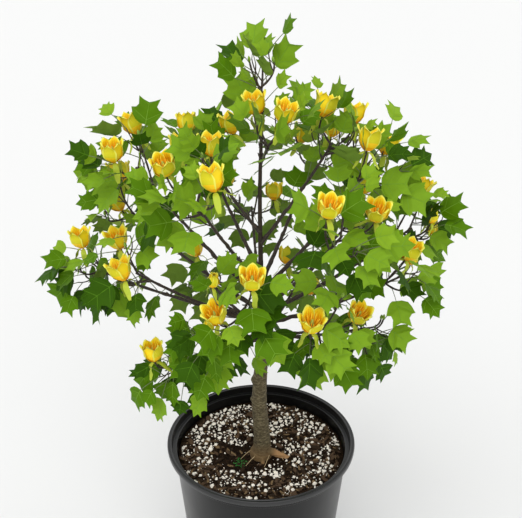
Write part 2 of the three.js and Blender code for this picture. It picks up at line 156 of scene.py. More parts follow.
# --------------------------------------------------------------------------------------------- pot
# A round nursery pot, injection-moulded in black polyethylene in one shot. It has a rolled rim over a
# collar, a wall that tapers so that pots nest, a stacking ledge inside, and drain slots at its foot.
POT_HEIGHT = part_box("pot")[1].z / MM
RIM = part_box("pot")[1].x / MM
RIM_WIDTH = 8.5
LIP = 10  # the rim's outer face
COLLAR = {"radius": 168, "height": 22}
WALL_TOP = 164.5  # the plain wall's radius, carried up to the rim
BASE = 138
WALL = 3.5
POT_FLOOR = 5
STAND = {"width": 18, "slope": 4, "high": 3}  # the ring under its edge that it stands on
LEDGE = {"drop": 13, "width": 4, "shelf": 3.2}
GROOVE = {"in": 2.6, "width": 3.4, "deep": 1.1}  # a shallow channel round the top of the rim
DRAINS = {"count": 8, "width": 30, "height": 15, "depth": 40}
POT_SIDES = 192


def wall_radius(z):
    return BASE + (WALL_TOP - BASE) * z / POT_HEIGHT


def eased(corners, steps=5):
    """A lathe profile whose corners, each (radius, height, easing), are rounded off by their easing."""
    points = [np.array(corners[0][:2], float)]
    for (before, at, after) in zip(corners, corners[1:], corners[2:]):
        here = np.array(at[:2], float)
        start = np.array(before[:2], float) - here
        end = np.array(after[:2], float) - here
        start *= at[2] / np.linalg.norm(start)
        end *= at[2] / np.linalg.norm(end)
        for t in np.linspace(0, 1, steps if at[2] else 1):
            points.append(here + start * (1 - t) ** 2 + end * t ** 2)
    points.append(np.array(corners[-1][:2], float))
    return np.array(points)


def ring_faces(rows, sides):
    """Faces of a closed skin of rings. Its two end points come after the points of the rings."""
    faces = []
    for row in range(rows - 1):
        for i in range(sides):
            a, b = row * sides + i, row * sides + (i + 1) % sides
            faces.append((a, b, b + sides, a + sides))
    first, last, top_row = rows * sides, rows * sides + 1, (rows - 1) * sides
    for i in range(sides):
        j = (i + 1) % sides
        faces += [(first, j, i), (last, top_row + i, top_row + j)]
    return faces


def turned(profile, sides):
    """Points and faces of a profile turned round the Z axis. It starts and ends on the axis."""
    angles = np.arange(sides) * 2 * math.pi / sides
    ring = profile[1:-1]
    axes = [(ring[:, 0], np.cos(angles)), (ring[:, 0], np.sin(angles)), (ring[:, 1], np.ones(sides))]
    points = np.stack([np.outer(*axis) for axis in axes], axis=-1).reshape(-1, 3)
    ends = [(0, 0, profile[0][1]), (0, 0, profile[-1][1])]
    return np.vstack([points, ends]), ring_faces(len(ring), sides)


def plain(skins):
    """Parts in one finish, for shape, from pairs of points and faces."""
    return [(points, [(faces, 0)]) for points, faces in skins]


def shape(name, parts, materials, smooth=True):
    """One object from parts: each has its points in mm and its groups of faces and material number."""
    points, faces, numbers = [], [], []
    count = 0
    for part_points, groups in parts:
        for group_faces, number in groups:
            faces += [[v + count for v in face] for face in group_faces]
            numbers += [number] * len(group_faces)
        points.append(part_points)
        count += len(part_points)
    mesh = bpy.data.meshes.new(name)
    mesh.from_pydata((np.vstack(points) * MM).tolist(), [], faces)
    mesh.polygons.foreach_set("material_index", numbers)
    mesh.polygons.foreach_set("use_smooth", [smooth] * len(faces))
    for material in materials:
        mesh.materials.append(material)
    mesh.update()
    return in_scene(name, mesh)


def settle(made, nodes=None, **inputs):
    """Applies an object's modifiers, or one tree of geometry nodes with these inputs, to its mesh."""
    if nodes:
        modifier = made.modifiers.new("grow", "NODES")
        modifier.node_group = nodes
        for item in nodes.interface.items_tree:
            if item.in_out == "INPUT" and item.name in inputs:
                modifier[item.identifier] = inputs[item.name]
    result = made.evaluated_get(bpy.context.evaluated_depsgraph_get())
    mesh = bpy.data.meshes.new_from_object(result)
    made.modifiers.clear()
    return mesh


def place(piece, slot, *nodes):
    """Lets a finished piece ride on the plant's one body and stand for these CAD nodes."""
    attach(piece, "root")
    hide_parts(*nodes)


def moulded_polyethylene(name, dark, dust_and_painted_light, gloss):
    """Black polyethylene from a satin mould: a soft grey sheen over a fine, even orange peel."""
    material, tree, shader = surface(name, dark, 0.34, 1.51, gloss)
    where = add(tree, "ShaderNodeTexCoord").outputs["Object"]
    peel = add(tree, "ShaderNodeTexNoise", Vector=where, Scale=1 / (1.2 * MM), Detail=2.0)
    scuff = add(tree, "ShaderNodeTexNoise", Vector=where, Scale=1 / (60 * MM), Detail=4.0)
    worn = add(tree, "ShaderNodeMapRange", Value=scuff, To_Min=0.26, To_Max=0.4)
    dust_and_painted_light_tone = add(tree, "ShaderNodeMix", {"data_type": "RGBA"}, Factor=scuff, A=colour(dark), B=colour(dust_and_painted_light))
    bump = add(tree, "ShaderNodeBump", Height=peel, Strength=0.12, Distance=0.1 * MM)
    wire(tree, shader, Base_Color=dust_and_painted_light_tone, Roughness=worn, Normal=bump)
    return material


def inner_radius(z):
    return wall_radius(z) - WALL


ledge = POT_HEIGHT - LEDGE["drop"]
collar_foot = POT_HEIGHT - COLLAR["height"]
groove_edge = RIM - GROOVE["in"]
pot_profile = eased([  # from the middle of its underside, up the outside, over the rim and down inside
    (0, STAND["high"], 0),
    (BASE - STAND["width"] - STAND["slope"], STAND["high"], 1.5),
    (BASE - STAND["width"], 0, 1.5),
    (BASE, 0, 3),
    (wall_radius(collar_foot), collar_foot, 1.2),
    (COLLAR["radius"], collar_foot, 1.2),
    (COLLAR["radius"] + 1, POT_HEIGHT - LIP, 1),
    (RIM - 1, POT_HEIGHT - LIP, 1.5),
    (RIM, POT_HEIGHT - 3, 2),
    (RIM - 1, POT_HEIGHT, 1),
    (groove_edge, POT_HEIGHT, 0.5),
    (groove_edge - 0.6, POT_HEIGHT - GROOVE["deep"], 0.4),
    (groove_edge - GROOVE["width"], POT_HEIGHT - GROOVE["deep"], 0.4),
    (RIM - RIM_WIDTH + 1.6, POT_HEIGHT, 0.5),
    (RIM - RIM_WIDTH, POT_HEIGHT, 0.8),
    (inner_radius(ledge) + LEDGE["width"] + LEDGE["shelf"], ledge, 0.6),
    (inner_radius(ledge) + LEDGE["width"], ledge, 1),
    (inner_radius(ledge), ledge, 1.2),
    (inner_radius(POT_FLOOR), POT_FLOOR, 4),
    (0, POT_FLOOR, 0),
])
pot_points, pot_faces = turned(pot_profile, POT_SIDES)
# Its outer wall gets dusty. Its inside and the collar stay in the shade, painted darker and duller, and
# its rim and the ledge's edge carry a painted highlight, paler and glossier.
OUTER, SHADED, RIM_HIGHLIGHT = range(3)
heights, spreads = pot_points[:, 2], np.hypot(pot_points[:, 0], pot_points[:, 1])
highlit_rim_and_ledge = (heights > ledge) & (spreads > RIM - RIM_WIDTH - 0.2) | (abs(heights - ledge) < 0.3)
inside = (heights > 4) & (spreads < wall_radius(heights) - WALL / 2) | (heights > collar_foot + 3)
parts_of_pot = [[], [], []]
for face in pot_faces:
    at = list(face)
    parts_of_pot[RIM_HIGHLIGHT if highlit_rim_and_ledge[at].all() else SHADED if inside[at].all() else OUTER].append(face)
pot_groups = [(faces, number) for number, faces in enumerate(parts_of_pot)]
pot_finishes = [
    moulded_polyethylene("moulded_polyethylene", "#040404", "#0b0b0c", 0.27),
    # a darker, duller copy: painted shade on the inside and the collar
    moulded_polyethylene("polyethylene_in_shade", "#040404", "#080808", 0.15),
    # a paler, glossier copy: a painted highlight on the rim and the ledge's edge
    moulded_polyethylene("polyethylene_rim_highlight", "#0f0f10", "#1d1d1e", 0.55),
]
pot = shape("pot_shell", [(pot_points, pot_groups)], pot_finishes)
pot.data.set_sharp_from_angle(angle=math.radians(40))

across = DRAINS["width"] / 2
arch = [(across * math.cos(t), DRAINS["height"] * math.sin(t) ** 0.5) for t in np.linspace(0, math.pi, 13)]
arch += [(-across, -5), (across, -5)]
n = len(arch)
block = [(k, k + n, (k + 1) % n + n, (k + 1) % n) for k in range(n)]
block += [tuple(range(n)), tuple(range(2 * n - 1, n - 1, -1))]
cutters = []
for i in range(DRAINS["count"]):
    angle = 2 * math.pi * (i + 0.5) / DRAINS["count"]
    out = np.array([math.cos(angle), math.sin(angle), 0])
    side = np.array([-math.sin(angle), math.cos(angle), 0])
    near = [out * (BASE - DRAINS["depth"] / 2) + side * x + np.array([0, 0, z]) for x, z in arch]
    cutters.append((np.array(near + [p + out * DRAINS["depth"] for p in near]), block))
cutter = shape("drain_cutter", plain(cutters), [], smooth=False)
cut = pot.modifiers.new("drains", "BOOLEAN")
cut.object = cutter
cut.solver = "EXACT"
pot.data = settle(pot)
bpy.data.objects.remove(cutter)
place(pot, "pot_plastic", "pot")

# ------------------------------------------------------------------------------------- potting mix
# Damp composted bark and peat, banked against the wall and dished round the trunk by watering. Light
# perlite grains have floated up in drifts, with bark chips, a little moss and some fibrous roots.
MIX = {"level": 260, "rise": 8, "dip": 6, "dish": 68, "slope": 109}
MIX_FOOT = 5.5
MIX_SIDES = 288
MIX_STEP = 1.7  # between one ring of the surface and the next
LUMPS = [(16, 1.5), (5, 0.9)]  # how wide and how high the surface's lumps are
MOSS = {"x": -38, "y": -21, "radius": 16}
HOLLOW = {"x": -42, "y": -12, "radius": 52}  # washed bare beside the trunk


def lumpy(x, y, grain, layer=0.0):
    """Smooth noise from -1 to 1, with lumps about grain mm wide."""
    return noise.noise(Vector((x / grain, y / grain, layer)))


def mix_height(x, y):
    radii = [MIX["dish"] * 0.7, MIX["slope"], inner_radius(MIX["level"])]
    bank = np.interp(math.hypot(x, y), radii, [-MIX["dip"], MIX["rise"] * 0.4, MIX["rise"]])
    return MIX["level"] + float(bank) + sum(high * lumpy(x, y, wide) for wide, high in LUMPS)


def mottled(name, code, stops, grain, detail, bump, shine, stretch=(1, 1, 1), rough=0.5):
    """A finish whose colour follows a noise with grains so many mm wide, which raises its bump too. The
    shine is its roughness, IOR and specular level. Returns it with its tree, its shader and its tone."""
    material, tree, shader = surface(name, code, *shine)
    where = add(tree, "ShaderNodeTexCoord").outputs["Object"]
    where = add(tree, "ShaderNodeMapping", Vector=where, Scale=stretch)
    specks = add(
        tree, "ShaderNodeTexNoise", Vector=where, Scale=1 / (grain * MM), Detail=detail, Roughness=rough
    )
    tone = add(tree, "ShaderNodeValToRGB", Fac=specks)
    marks = tone.color_ramp.elements
    marks.remove(marks[1])
    for k, (share, shade) in enumerate(stops):
        mark = marks.new(share) if k else marks[0]
        mark.position, mark.color = share, colour(shade)
    raised = add(tree, "ShaderNodeBump", Height=specks, Strength=bump[0], Distance=bump[1] * MM)
    wire(tree, shader, Base_Color=tone, Normal=raised)
    return material, tree, shader, tone


def grain_finish(name, code, dark, roughness, grain):
    """Small lumps of one stuff, each a little lighter or darker across its grain, in mm."""
    return mottled(name, code, [(0, dark), (1, code)], grain, 3, (0.25, 0.3), (roughness, 1.45, 0.15))[0]


mix_radius = inner_radius(MIX["level"] + MIX["rise"]) - 0.5
rings = np.arange(mix_radius, 2, -MIX_STEP)
mix_profile = [(0, MIX_FOOT), (inner_radius(MIX_FOOT) - 1, MIX_FOOT)]
mix_profile += [(r, MIX["level"]) for r in rings] + [(0, MIX["level"])]
mix_points, mix_faces = turned(np.array(mix_profile), MIX_SIDES)
top = mix_points[:, 2] > MIX_FOOT
mix_points[top, 2] = [mix_height(x, y) for x, y in mix_points[top, :2]]
# Peat and fine bark: nearly black while damp, browner on its crumbs, quite without gloss.
DAMP_BROWNS = [(0.35, "#080402"), (0.75, "#38281a")]
composted_bark = mottled("composted_bark", "#120d0a", DAMP_BROWNS, 3, 4, (0.9, 1.2), (0.95, 1.4, 0.1))[0]
mix = shape("potting_mix_surface", plain([(mix_points, mix_faces)]), [composted_bark])


def drifts(grain, layer):
    """The smooth noise at every point of the mix."""
    return np.array([lumpy(x, y, grain, layer) for x, y in mix_points[:, :2]])


def off_spot(spot):
    """How far each point of the mix is from a spot, 1 at the spot's edge."""
    return np.hypot(mix_points[:, 0] - spot["x"], mix_points[:, 1] - spot["y"]) / spot["radius"]


reach = np.hypot(mix_points[:, 0], mix_points[:, 1])
drift = drifts(34, 3.0) + 0.5 * drifts(12, 5.0)
fine_drift = drifts(20, 8.0)
washed = np.clip((reach - 25) / 30, 0.15, 1)  # watering leaves few grains near the trunk
behind = 0.42 + 0.3 * np.clip(mix_points[:, 1] / 120, -0.2, 1)  # most grains lie towards the back
beyond_dish = np.clip((reach - 30) / 60, 0.3, 1)
bare = np.clip(off_spot(HOLLOW) ** 2 - 0.25, 0.1, 1)
clear_edge = reach < mix_radius - 4
covers = {  # how much of the mix each kind of grain covers, point by point
    "perlite_cover": (behind + 1.3 * drift + 0.5 * fine_drift) * washed * bare * clear_edge,
    "fines_cover": (0.4 + 0.8 * fine_drift) * bare * clear_edge,
    "bark_cover": (0.6 - 0.9 * drift + 0.4 * fine_drift) * beyond_dish * clear_edge,
    "crumb_cover": 0.8 * clear_edge,
    "moss_cover": 1 - off_spot(MOSS) ** 2,
}
for name, values in covers.items():
    attribute = mix.data.attributes.new(name, "FLOAT", "POINT")
    attribute.data.foreach_set("value", np.clip(values, 0, 1) * top)


def scatter_tree(name, faceted):
    """Geometry nodes that strew lumps on a surface: each has its own size, shape and turn."""
    tree = bpy.data.node_groups.new(name, "GeometryNodeTree")
    kinds = {
        "Geometry": "Geometry", "Cover": "String", "Spacing": "Float", "Smallest": "Float",
        "Largest": "Float", "Slimness": "Vector", "Tilt": "Float", "Detail": "Int", "Seed": "Int",
        "Finish": "Material",
    }
    for label, kind in kinds.items():
        tree.interface.new_socket(label, in_out="INPUT", socket_type="NodeSocket" + kind)
    tree.interface.new_socket("Geometry", in_out="OUTPUT", socket_type="NodeSocketGeometry")
    given = add(tree, "NodeGroupInput").outputs
    cover = add(tree, "GeometryNodeInputNamedAttribute", {"data_type": "FLOAT"}, Name=given["Cover"])
    points = add(
        tree, "GeometryNodeDistributePointsOnFaces", {"distribute_method": "POISSON"},
        Mesh=given["Geometry"], Distance_Min=given["Spacing"], Density_Max=1e6, Density_Factor=cover,
        Seed=given["Seed"],
    )
    ball = add(tree, "GeometryNodeMeshIcoSphere", Radius=1.0, Subdivisions=given["Detail"])
    ripple = add(tree, "ShaderNodeTexNoise", Scale=1.1, Detail=1.0).outputs["Color"]
    centred = add(tree, "ShaderNodeVectorMath", {"operation": "SUBTRACT"}, in_0=ripple, in_1=(0.5,) * 3)
    pushed = add(tree, "ShaderNodeVectorMath", {"operation": "SCALE"}, in_0=centred, Scale=1.6)
    lump = add(tree, "GeometryNodeSetPosition", Geometry=ball, Offset=pushed)
    size = add(
        tree, "FunctionNodeRandomValue", {"data_type": "FLOAT"}, Seed=given["Seed"],
        Min=given["Smallest"], Max=given["Largest"],
    )
    vector = {"data_type": "FLOAT_VECTOR"}
    form = add(tree, "FunctionNodeRandomValue", vector, Min=(0.7,) * 3, Max=(1.25,) * 3, Seed=7)
    multiply = {"operation": "MULTIPLY"}
    slim = add(tree, "ShaderNodeVectorMath", multiply, in_0=form, in_1=given["Slimness"])
    scale = add(tree, "ShaderNodeVectorMath", {"operation": "SCALE"}, in_0=slim, Scale=size)
    lean = add(tree, "FunctionNodeRandomValue", vector, Min=(-1, -1, 0), Max=(1, 1, 1), Seed=11)
    full_turn = add(tree, "ShaderNodeCombineXYZ", X=given["Tilt"], Y=given["Tilt"], Z=2 * math.pi)
    turn = add(tree, "ShaderNodeVectorMath", multiply, in_0=lean, in_1=full_turn)
    strewn = add(
        tree, "GeometryNodeInstanceOnPoints", Points=points, Instance=lump, Rotation=turn, Scale=scale
    )
    real = add(tree, "GeometryNodeRealizeInstances", Geometry=strewn)
    shaded = add(tree, "GeometryNodeSetShadeSmooth", Geometry=real, Shade_Smooth=not faceted)
    done = add(tree, "GeometryNodeSetMaterial", Geometry=shaded, Material=given["Finish"])
    add(tree, "NodeGroupOutput", Geometry=done)
    return tree


GRAINS = scatter_tree("strewn_grains", faceted=False)
CHIPS = scatter_tree("strewn_chips", faceted=True)
PERLITE = grain_finish("expanded_perlite", "#fffcf5", "#fbf0de", 0.9, 1.5)
BROWN = grain_finish("bark_chips_brown", "#65503e", "#36281a", 0.85, 2)
DARK = grain_finish("bark_chips_dark", "#3b2c1e", "#1b130c", 0.85, 2)
TAN = grain_finish("bark_chips_tan", "#8f785a", "#5a452b", 0.85, 2)
PEAT = grain_finish("peat_crumbs", "#1a120d", "#090605", 0.95, 1.5)
LIVE_MOSS = grain_finish("live_moss", "#4f9a48", "#235c2c", 0.8, 1)
STREWN = [  # piece, tree, cover, spacing, smallest and largest radius, slimness, tilt, detail, seed, finish
    ("perlite", GRAINS, "perlite_cover", 10.5, 2.6, 5.4, (1, 0.85, 0.8), 3.1, 2, 4, PERLITE),
    ("perlite_crumbs", GRAINS, "perlite_cover", 6.2, 1.3, 2.7, (1, 0.9, 0.8), 3.1, 1, 5, PERLITE),
    ("perlite_fines", GRAINS, "fines_cover", 7.5, 0.6, 1.2, (1, 1, 0.9), 3.1, 1, 9, PERLITE),
    ("bark_chips_brown", CHIPS, "bark_cover", 12, 3.5, 8.5, (1.3, 0.6, 0.28), 0.5, 2, 21, BROWN),
    ("bark_chips_dark", CHIPS, "bark_cover", 12, 3, 8, (1.3, 0.6, 0.28), 0.5, 2, 22, DARK),
    ("bark_chips_tan", CHIPS, "bark_cover", 16, 2.5, 6, (1.3, 0.6, 0.28), 0.5, 2, 23, TAN),
    ("peat_crumbs", CHIPS, "crumb_cover", 4.2, 0.9, 2.1, (1, 0.8, 0.7), 3.1, 1, 31, PEAT),
    ("moss", GRAINS, "moss_cover", 2.3, 0.9, 2.2, (1, 0.6, 1.4), 0.6, 1, 41, LIVE_MOSS),
]
for name, tree, cover, spacing, smallest, largest, slimness, tilt, detail, seed, finish in STREWN:
    mesh = settle(
        mix, tree, Cover=cover, Spacing=spacing * MM, Smallest=smallest * MM, Largest=largest * MM,
        Slimness=slimness, Tilt=tilt, Detail=detail, Seed=seed, Finish=finish,
    )
    mesh.name = name
    place(in_scene(name, mesh), "potting_mix")
for name in covers:
    mix.data.attributes.remove(mix.data.attributes[name])
place(mix, "potting_mix", "potting_mix")

# ------------------------------------------------------------------------------------------- trunk
# The bare stem of the young tree. Its grey-brown bark has just begun to crack along its length, with
# old leaf scars as knobs, and is ochre at the foot, where it was lately under the mix. Surface roots
# run out of its flare and dive into the mix.
TRUNK = {
    "height": 680, "foot": 17.5, "tip": 2.6, "fork": 290, "at_fork": 10.5, "above_fork": 4.6, "bow": 3
}
FLARE = {"out": 3.5, "high": 14}  # the swelling of its foot, and how soon that is gone
TAPER = 0.7  # below 1 it narrows most at the foot
NARROWING = 9  # how soon it thins above the fork
GROUND = MIX["level"] - MIX["dip"]
BUTT = 8  # how far the trunk's foot is carried down into the mix
ROOTS = [  # heading, length and thickness
    (-5, 62, 9.5),
    (78, 38, 6),
    (155, 26, 6),
    (-80, 25, 8.5),
]
ROOT_TIP = 2.5
SCARS = [  # height above the mix, heading, size
    (62, -60, 1.3),
    (134, 186, 3.4),
    (176, 184, 4.2),
    (222, -70, 1.5),
    (250, 110, 2.0),
    (98, 40, 1.6),
]
BARK = {"crack": 0.6, "crack_wide": 4.6, "crack_long": 9, "fine": 0.2, "fine_wide": 1.9, "wrinkle": 0.45}
BARK_FULL = 9  # on thinner wood than this radius the cracks are shallower
BARK_VOXEL = 1.05
BARK_RINGS = {"height": 110, "spacing": 6}
ROOTLETS = [  # where each springs and where it ends, and how high it arches
    ((-14, 9), (-40, -9), 6),
    ((17, -6), (6, -32), 7),
    ((-12, -14), (-30, -30), 4),
    ((20, 8), (44, -14), 3),
]


class Route:
    """A curve in mm, held as close points, that is read by the share of its length."""

    def __init__(self, points):
        self.points = np.array(points, float)
        steps = np.linalg.norm(np.diff(self.points, axis=0), axis=1)
        self.length = steps.sum()
        self.shares = np.concatenate([[0], np.cumsum(steps)]) / self.length

    def at(self, share):
        return np.stack([np.interp(share, self.shares, axis) for axis in self.points.T], axis=-1)

    def way(self, share):
        return unit(self.at(min(share + 0.02, 1)) - self.at(max(share - 0.02, 0)))

    def part(self, start, end):
        return Route(self.at(np.linspace(start, end, 17)))


def unit(v):
    return v / max(np.linalg.norm(v), 1e-9)


def between(low, high, share):
    return low + (high - low) * share


def tapering(foot, tip):
    """A limb's radius that goes evenly from its foot to its tip."""
    return lambda share: between(foot, tip, share)


def compass(heading):
    return np.array([math.cos(math.radians(heading)), math.sin(math.radians(heading)), 0.0])


def bent(start, knee, end, steps=24):
    """A limb's curve: it leaves start towards knee and comes into end from there."""
    t = np.linspace(0, 1, steps + 1)[:, None]
    return Route(start * (1 - t) ** 2 + knee * 2 * t * (1 - t) + end * t ** 2)


def flowing(points, steps=12):
    """A smooth curve through a few points."""
    points = np.array(points, float)
    ways = np.gradient(points, axis=0)
    line = []
    for p, q, v, w in zip(points, points[1:], ways, ways[1:]):
        for t in np.arange(steps) / steps:
            a, b = 2 * t ** 3 - 3 * t ** 2 + 1, t ** 3 - 2 * t ** 2 + t
            line.append(p * a + v * b + q * (1 - a) + w * (t ** 3 - t ** 2))
    return Route([*line, points[-1]])


def limb(route, radius_at, sides, steps):
    """Points and faces of a closed round limb along a route."""
    shares = np.linspace(0, 1, steps + 1)
    centres = route.at(shares)
    ways = np.gradient(centres, axis=0)
    angles = np.arange(sides) * 2 * math.pi / sides
    across = np.cross(ways[0], (0.3, 0.5, 0.8))
    rows = []
    for centre, way, share in zip(centres, ways, shares):
        way = unit(way)
        across = unit(across - way * (across @ way))
        round_it = np.outer(np.cos(angles), across) + np.outer(np.sin(angles), np.cross(way, across))
        rows.append(centre + radius_at(share) * round_it)
    return np.vstack([*rows, centres[0], centres[-1]]), ring_faces(steps + 1, sides)


def trunk_radius(share):
    height = share * TRUNK["height"]
    flare = FLARE["out"] * math.exp(-height / FLARE["high"])
    if height < TRUNK["fork"]:
        return between(TRUNK["foot"], TRUNK["at_fork"], (height / TRUNK["fork"]) ** TAPER) + flare
    above = (height - TRUNK["fork"]) / (TRUNK["height"] - TRUNK["fork"])
    shoulder = (TRUNK["at_fork"] - TRUNK["above_fork"]) * math.exp(-above * NARROWING)
    return between(TRUNK["above_fork"], TRUNK["tip"], above) + shoulder


def fissured_bark():
    """Young tulip tree bark: ash-grey and dry, with brown cracks, browner towards its foot and tip."""
    cracks = [(0.34, "#2f2818"), (0.5, "#534931"), (0.68, "#7e7357")]
    material, tree, shader, tone = mottled(
        "fissured_bark", "#6e6050", cracks, 5, 5, (0.8, 0.8), (0.88, 1.5, 0.5), (0.7, 0.7, 1.5), 0.7
    )
    where = add(tree, "ShaderNodeTexCoord").outputs["Object"]
    height = add(tree, "ShaderNodeSeparateXYZ", Vector=where).outputs["Z"]
    level = add(tree, "ShaderNodeVectorMath", {"operation": "MULTIPLY"}, in_0=where, in_1=(1, 1, 0))
    from_axis = add(tree, "ShaderNodeVectorMath", {"operation": "LENGTH"}, in_0=level)
    foot, fork = TRUNK["foot"], GROUND + TRUNK["fork"]
    for reading, start, end, most, code in [
        (height, GROUND + 40, GROUND + 8, 0.75, "#755a36"),  # ochre where it was lately in the mix
        (from_axis, foot + 3, foot + 14, 1.0, "#a07a50"),  # the surface roots' paler skin
        (height, fork - 30, fork + 60, 0.9, "#2c211a"),  # young dark bark above the fork
    ]:
        share = add(
            tree, "ShaderNodeMapRange", Value=reading, From_Min=start * MM, From_Max=end * MM, To_Max=most
        )
        tone = add(tree, "ShaderNodeMix", {"data_type": "RGBA"}, Factor=share, A=tone, B=colour(code))
    wire(tree, shader, Base_Color=tone)
    return material


trunk_top = MIX["level"] + TRUNK["height"]
trunk_line = flowing([
    (TRUNK["bow"] * math.sin(i * 2.4), TRUNK["bow"] * math.cos(i * 1.7), between(GROUND, trunk_top, share))
    for i, share in enumerate([0, 0.06, 0.2, 0.38, 0.6, 0.8, 1])
])
trunk_foot = trunk_line.at(0)
butt = Route([trunk_foot - (0, 0, BUTT), trunk_foot + (0, 0, 12)])
butt_radius = trunk_radius(0) - 0.4
trunk_limbs = [limb(trunk_line, trunk_radius, 32, 160), limb(butt, lambda share: butt_radius, 32, 2)]
for heading, length, thick in ROOTS:
    way = compass(heading)
    knee = way * length * 0.4 + (0, 0, GROUND + thick)
    dive = way * length * 1.06 + (0, 0, GROUND - 5)
    root_line = bent(np.array([0, 0, GROUND + 2 * thick]), knee, dive)
    trunk_limbs.append(limb(root_line, tapering(thick, ROOT_TIP), 16, 24))
trunk = shape("trunk_and_roots", plain(trunk_limbs), [])
remesh = trunk.modifiers.new("one_skin", "REMESH")
remesh.mode = "VOXEL"
remesh.voxel_size = BARK_VOXEL * MM
remesh.use_smooth_shade = True
soften = trunk.modifiers.new("soften", "SMOOTH")
soften.factor = 0.5
soften.iterations = 2
trunk.data = settle(trunk)
trunk.data.materials.append(fissured_bark())


def bark_relief(spot, girth):
    """How far the bark stands out at a spot, in mm: cracks, wrinkles at the foot, and scars."""
    x, y, z = spot
    crack = noise.noise(Vector((x, y, z * BARK["crack_wide"] / BARK["crack_long"])) / BARK["crack_wide"])
    fine = noise.noise(Vector((x, y, z * 0.4)) / BARK["fine_wide"])
    lift = BARK["crack"] * (0.35 - abs(crack) * 1.6) + BARK["fine"] * fine
    height = z - GROUND
    if height < BARK_RINGS["height"]:
        wave = math.sin(2 * math.pi * height / BARK_RINGS["spacing"] + 3 * lumpy(x, y, 18, height / 30))
        lift += BARK["wrinkle"] * wave * (1 - height / BARK_RINGS["height"])
    lift *= min(1, girth / BARK_FULL)
    for scar_height, heading, size in SCARS:
        if abs(height - scar_height) < 12:  # further off it has no share in the relief
            scar = trunk_line.at(height / (TRUNK["height"] + MIX["dip"]))
            scar = scar + compass(heading) * trunk_radius(height / TRUNK["height"])
            gap = math.hypot(math.hypot(x - scar[0], y - scar[1]), z - GROUND - scar_height)
            lift += size * math.exp(-((gap / (1.6 * size)) ** 2))
    return lift


def vectors(items, name):
    """One vector of every item of a mesh, as rows."""
    values = np.empty(len(items) * 3)
    items.foreach_get(name, values)
    return values.reshape(-1, 3)


trunk_points = vectors(trunk.data.vertices, "co") / MM
girths = [trunk_radius(min(max((z - GROUND) / TRUNK["height"], 0), 1)) for z in trunk_points[:, 2]]
lifts = [bark_relief(spot, girth) for spot, girth in zip(trunk_points, girths)]
trunk_points += vectors(trunk.data.vertex_normals, "vector") * np.array(lifts)[:, None]
trunk.data.vertices.foreach_set("co", (trunk_points * MM).ravel())
trunk.data.update()
place(trunk, "trunk_bark", "trunk")

# A fine dry root, pale buff and dull.
root_fibre, _, _ = surface("root_fibre", "#c2ab84", 0.7, 1.45, 0.2)
rootlets = []
for (x, y), (end_x, end_y), arch in ROOTLETS:
    start = np.array([x, y, GROUND + 10])
    end = np.array([end_x, end_y, mix_height(end_x, end_y) - 1])
    fibre = bent(start, (start + end) / 2 + (3, 3, arch), end)
    rootlets.append(limb(fibre, tapering(0.75, 0.4), 6, 16))
place(shape("rootlets", plain(rootlets), [root_fibre]), "trunk_bark")

# ------------------------------------------------------------------------------------------ boughs
# The limbs that carry the crown. Each leaves the trunk in a swollen collar and tapers as it rises,
# with a slight swelling at every old node. Their bark is still smooth, dark brown and faintly glossy.
HEART = 400  # height of the crown's middle above the mix, which the foliage faces away from
CROWN_HALF = 350  # from there to the crown's top or foot
BOUGH = {"foot": 4.4, "tip": 2.3, "enters": 0.66, "sag": 0.07, "collar": 2.6, "collar_long": 9}
NODES = {"spacing": 27, "swell": 0.7, "on_stem": 0.4, "on_shoot": 0.35, "long": 3.2}
STEM_END = {"inward": 26, "down": 34}
UP = np.array([0.0, 0.0, 1.0])
# The masses of foliage: heading, reach and height of the hub, the fork's height on the trunk, the
# shoots and how many of them flower, how far they spread from the hub, and the first one's turn.
MASSES = {
    "leader_tip": (-100, 14, 760, None, 3, 0, 20, 95),
    "crown_top": (-76, 56, 681, 580, 4, 2, 28, 134),
    "upper_left": (-173, 85, 627, 460, 3, 3, 50, 4),
    "upper_right": (0, 124, 668, 440, 4, 2, 38, 133),
    "left_shoulder": (-172, 216, 632, 335, 4, 2, 38, 150),
    "right_shoulder": (-5, 185, 621, 350, 4, 2, 50, 152),
    "front_upper_left": (-120, 202, 620, 370, 4, 2, 42, 176),
    "front_upper_right": (-46, 194, 552, 318, 4, 2, 46, 161),
    "left_far": (180, 305, 426, 300, 4, 1, 26, 90),
    "left_front": (-163, 237, 452, 288, 4, 2, 36, 160),
    "left_low": (-149, 193, 276, 262, 3, 1, 24, 90),
    "front_low": (-102, 194, 436, 280, 4, 2, 40, -133),
    "front_right_low": (-51, 185, 376, 270, 4, 2, 54, 168),
    "front_left_low": (-122, 168, 350, 268, 3, 0, 30, 60),
    "right_bottom": (-16, 208, 330, 262, 3, 0, 30, 120),
    "right_far": (3, 279, 504, 308, 4, 1, 36, 90),
    "right_low": (-14, 252, 436, 287, 3, 1, 28, 120),
    "back_upper_left": (128, 175, 610, 385, 4, 1, 44, 30),
    "back_upper_right": (55, 175, 600, 367, 4, 2, 46, 150),
    "back_left": (166, 255, 520, 312, 4, 2, 46, 60),
    "back": (95, 235, 470, 295, 4, 2, 50, 20),
    "back_right": (38, 235, 470, 322, 4, 2, 46, 120),
    "back_low_left": (128, 190, 335, 272, 3, 1, 36, 80),
    "back_low_right": (62, 190, 330, 265, 3, 2, 44, 10),
}
SEED = 148


def dice(seed):
    """Numbers from 0 to 1 that come out the same wherever the same seed is used."""
    state = seed
    while True:
        state = (state * 1664525 + 1013904223) % 4294967296
        yield state / 4294967296


# Twig bark of this tree: dark brown and smooth, waxy enough for a dull shine, with pale specks.
TWIG_BROWNS = [(0.4, "#211812"), (0.72, "#4d3c30")]
YOUNG_BARK = mottled("young_bark", "#33261e", TWIG_BROWNS, 2.5, 3, (0.4, 0.3), (0.55, 1.5, 0.5))[0]


